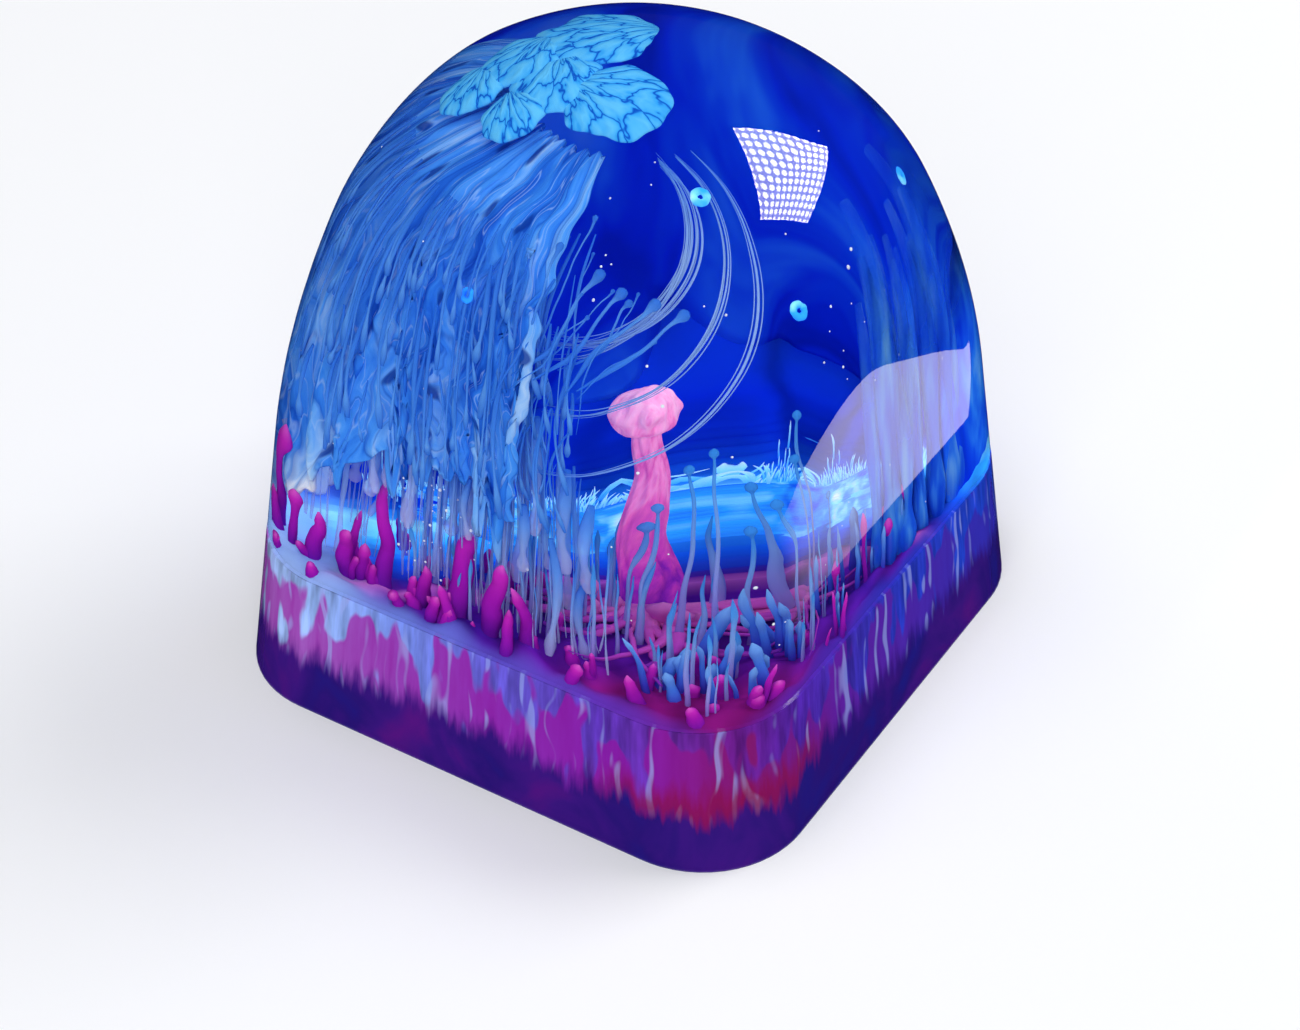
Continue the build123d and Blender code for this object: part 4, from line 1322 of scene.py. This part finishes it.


# Plain pale matt floor with a painted pool of light: brightest round the cap, greyer further out
def makeFloorPaint():
    material, tree = newMaterial("paleMattFloor")
    place = addNode(tree, "ShaderNodeTexCoord").outputs["Object"]
    away = addNode(tree, "ShaderNodeVectorMath", {0: place}, operation="LENGTH")
    # Painted light: the floor's colour falls off away from the cap
    outer = addNode(tree, "ShaderNodeMapRange", {"Value": away, "From Min": 0.048, "From Max": 0.11},
                    interpolation_type="SMOOTHSTEP")
    shade = addNode(tree, "ShaderNodeMix", {"Factor": outer, "A": linear("#FBFBFC"), "B": linear("#DCDEE2")},
                    data_type="RGBA")
    finishMaterial(tree, "ShaderNodeBsdfPrincipled", {
        "Base Color": shade, "Roughness": 0.8, "Specular IOR Level": 0.1})
    return material


stageSheet("floor", [(floorHalf * x, floorHalf * y, 0) for x, y in square], (0, 1, 2, 3), makeFloorPaint())

# Soft studio light: one softbox at the rear right, a wide top light, a front fill and a pale room
world = bpy.data.worlds.new("studio")
scene.world = world
world.use_nodes = True
room = world.node_tree
room.nodes.clear()
mirrored = addNode(room, "ShaderNodeLightPath").outputs["Is Glossy Ray"]
dimmed = addNode(room, "ShaderNodeMapRange", {"Value": mirrored, "To Min": 0.3, "To Max": 0.02})
sky = addNode(room, "ShaderNodeBackground", {"Color": linear("#E6EAF2"), "Strength": dimmed})
addNode(room, "ShaderNodeOutputWorld", {"Surface": sky})
partMiddle = Vector((0, 0, 0.009))
softboxSide = (0.43, 0.60, 0.67)


def areaLight(name, direction, distance, size, power):
    lamp = bpy.data.lights.new(name, "AREA")
    lamp.shape = "RECTANGLE"
    lamp.size, lamp.size_y = size
    lamp.energy = power
    holder = bpy.data.objects.new(name, lamp)
    aim = Vector(direction).normalized()
    holder.location = aim * distance + partMiddle
    holder.rotation_euler = aim.to_track_quat("Z", "Y").to_euler()
    holder.visible_glossy = False
    scene.collection.objects.link(holder)


areaLight("softbox", softboxSide, 0.30, (0.17, 0.15), 0.4)
areaLight("topLight", (-0.2, -0.2, 0.95), 0.5, (0.4, 0.4), 1.0)
areaLight("frontFill", (0.35, -0.8, 0.5), 0.5, (0.4, 0.3), 1.1)


# Cards that only polished surfaces mirror: the softbox's face of small lamps, a dark sheet at table height
# that is painted shade for the shadowed well round the cap, and at the right a pale board that starts some
# way from the cap, dimmed towards its front end as painted shade, with a dark flag beyond it
def mirroredCard(name, corners, colour, strength, lamps=0, fade=0.0):
    material, tree = newMaterial(name)
    level = strength
    if lamps:
        face = addNode(tree, "ShaderNodeUVMap", uv_map="face")
        spots = addNode(tree, "ShaderNodeTexVoronoi", {"Vector": face, "Scale": lamps, "Randomness": 0.0},
                        voronoi_dimensions="2D")
        level = addNode(tree, "ShaderNodeMapRange", {
            "Value": spots, "From Min": 0.26, "From Max": 0.44,
            "To Min": strength, "To Max": 0.22 * strength})
    # A fade dims the card towards its front end: painted shade
    if fade:
        face = addNode(tree, "ShaderNodeUVMap", uv_map="face")
        outward = addNode(tree, "ShaderNodeSeparateXYZ", {"Vector": face}).outputs["Y"]
        level = addNode(tree, "ShaderNodeMapRange", {"Value": outward, "From Max": fade, "To Max": strength},
                        interpolation_type="SMOOTHSTEP")
    finishMaterial(tree, "ShaderNodeEmission", {"Color": linear(colour), "Strength": level})
    card = stageSheet(name, corners, (3, 2, 1, 0), material)
    layer = card.data.uv_layers.new(name="face")
    for loop, place in zip(layer.data, ((0, 1), (1, 1), (1, 0), (0, 0))):
        loop.uv = place
    card.visible_camera = card.visible_diffuse = card.visible_shadow = card.visible_transmission = False


softboxTurn = Vector(softboxSide).normalized().to_track_quat("Z", "Y")
softboxCorners = [softboxTurn @ Vector((x * 0.085, y * 0.075, 0.302)) + partMiddle for x, y in square]
flagFoot = Vector((0.68, 0.73, 0)) * 0.0253
flagSide = Vector((-0.73, 0.68, 0)) * 0.15
flagCorners = [flagFoot + flagSide * x + Vector((0, 0, 0.0075 * (1 + y))) for x, y in square]
boardCorners = [(0.0543 + 0.04 * x, 0.05 + 0.05 * y, 0.0001) for x, y in square]
shadeSheetCorners = [(floorHalf * x, floorHalf * y, 0.00005) for x, y in square]
mirroredCard("softboxFace", softboxCorners, "#FFFFFF", 26.0, lamps=11)
mirroredCard("darkFlag", flagCorners, "#0A1030", 1.0)
mirroredCard("paleBoard", boardCorners, "#FFF4EC", 2.4, fade=0.14)
# Painted shade: a dark sheet at table height, mirrored where the well round the cap lies in shadow
mirroredCard("paintedShadeSheet", shadeSheetCorners, "#0C1436", 1.0)

# Camera at the photograph's angle
view = {"azimuth": math.radians(31.7973), "elevation": math.radians(39.1604), "distance": 80.9243,
        "aside": 0.4421, "lift": -3.593, "height": 8, "lens": 2857.05 / 1300 * 36, "sensor": 36,
        "clip": 0.005}
back = Vector((math.sin(view["azimuth"]) * math.cos(view["elevation"]),
               -math.cos(view["azimuth"]) * math.cos(view["elevation"]), math.sin(view["elevation"])))
right = Vector((math.cos(view["azimuth"]), math.sin(view["azimuth"]), 0))
up = back.cross(right)
target = Vector((0, 0, view["height"])) + right * view["aside"] + up * view["lift"]
lens = bpy.data.cameras.new("camera")
lens.lens = view["lens"]
lens.sensor_width = view["sensor"]
lens.clip_start = view["clip"]
camera = bpy.data.objects.new("camera", lens)
camera.location = (target + back * view["distance"]) * mm
camera.rotation_euler = back.to_track_quat("Z", "Y").to_euler()
scene.collection.objects.link(camera)
scene.camera = camera
scene.view_settings.view_transform = "Standard"
print("stage set")
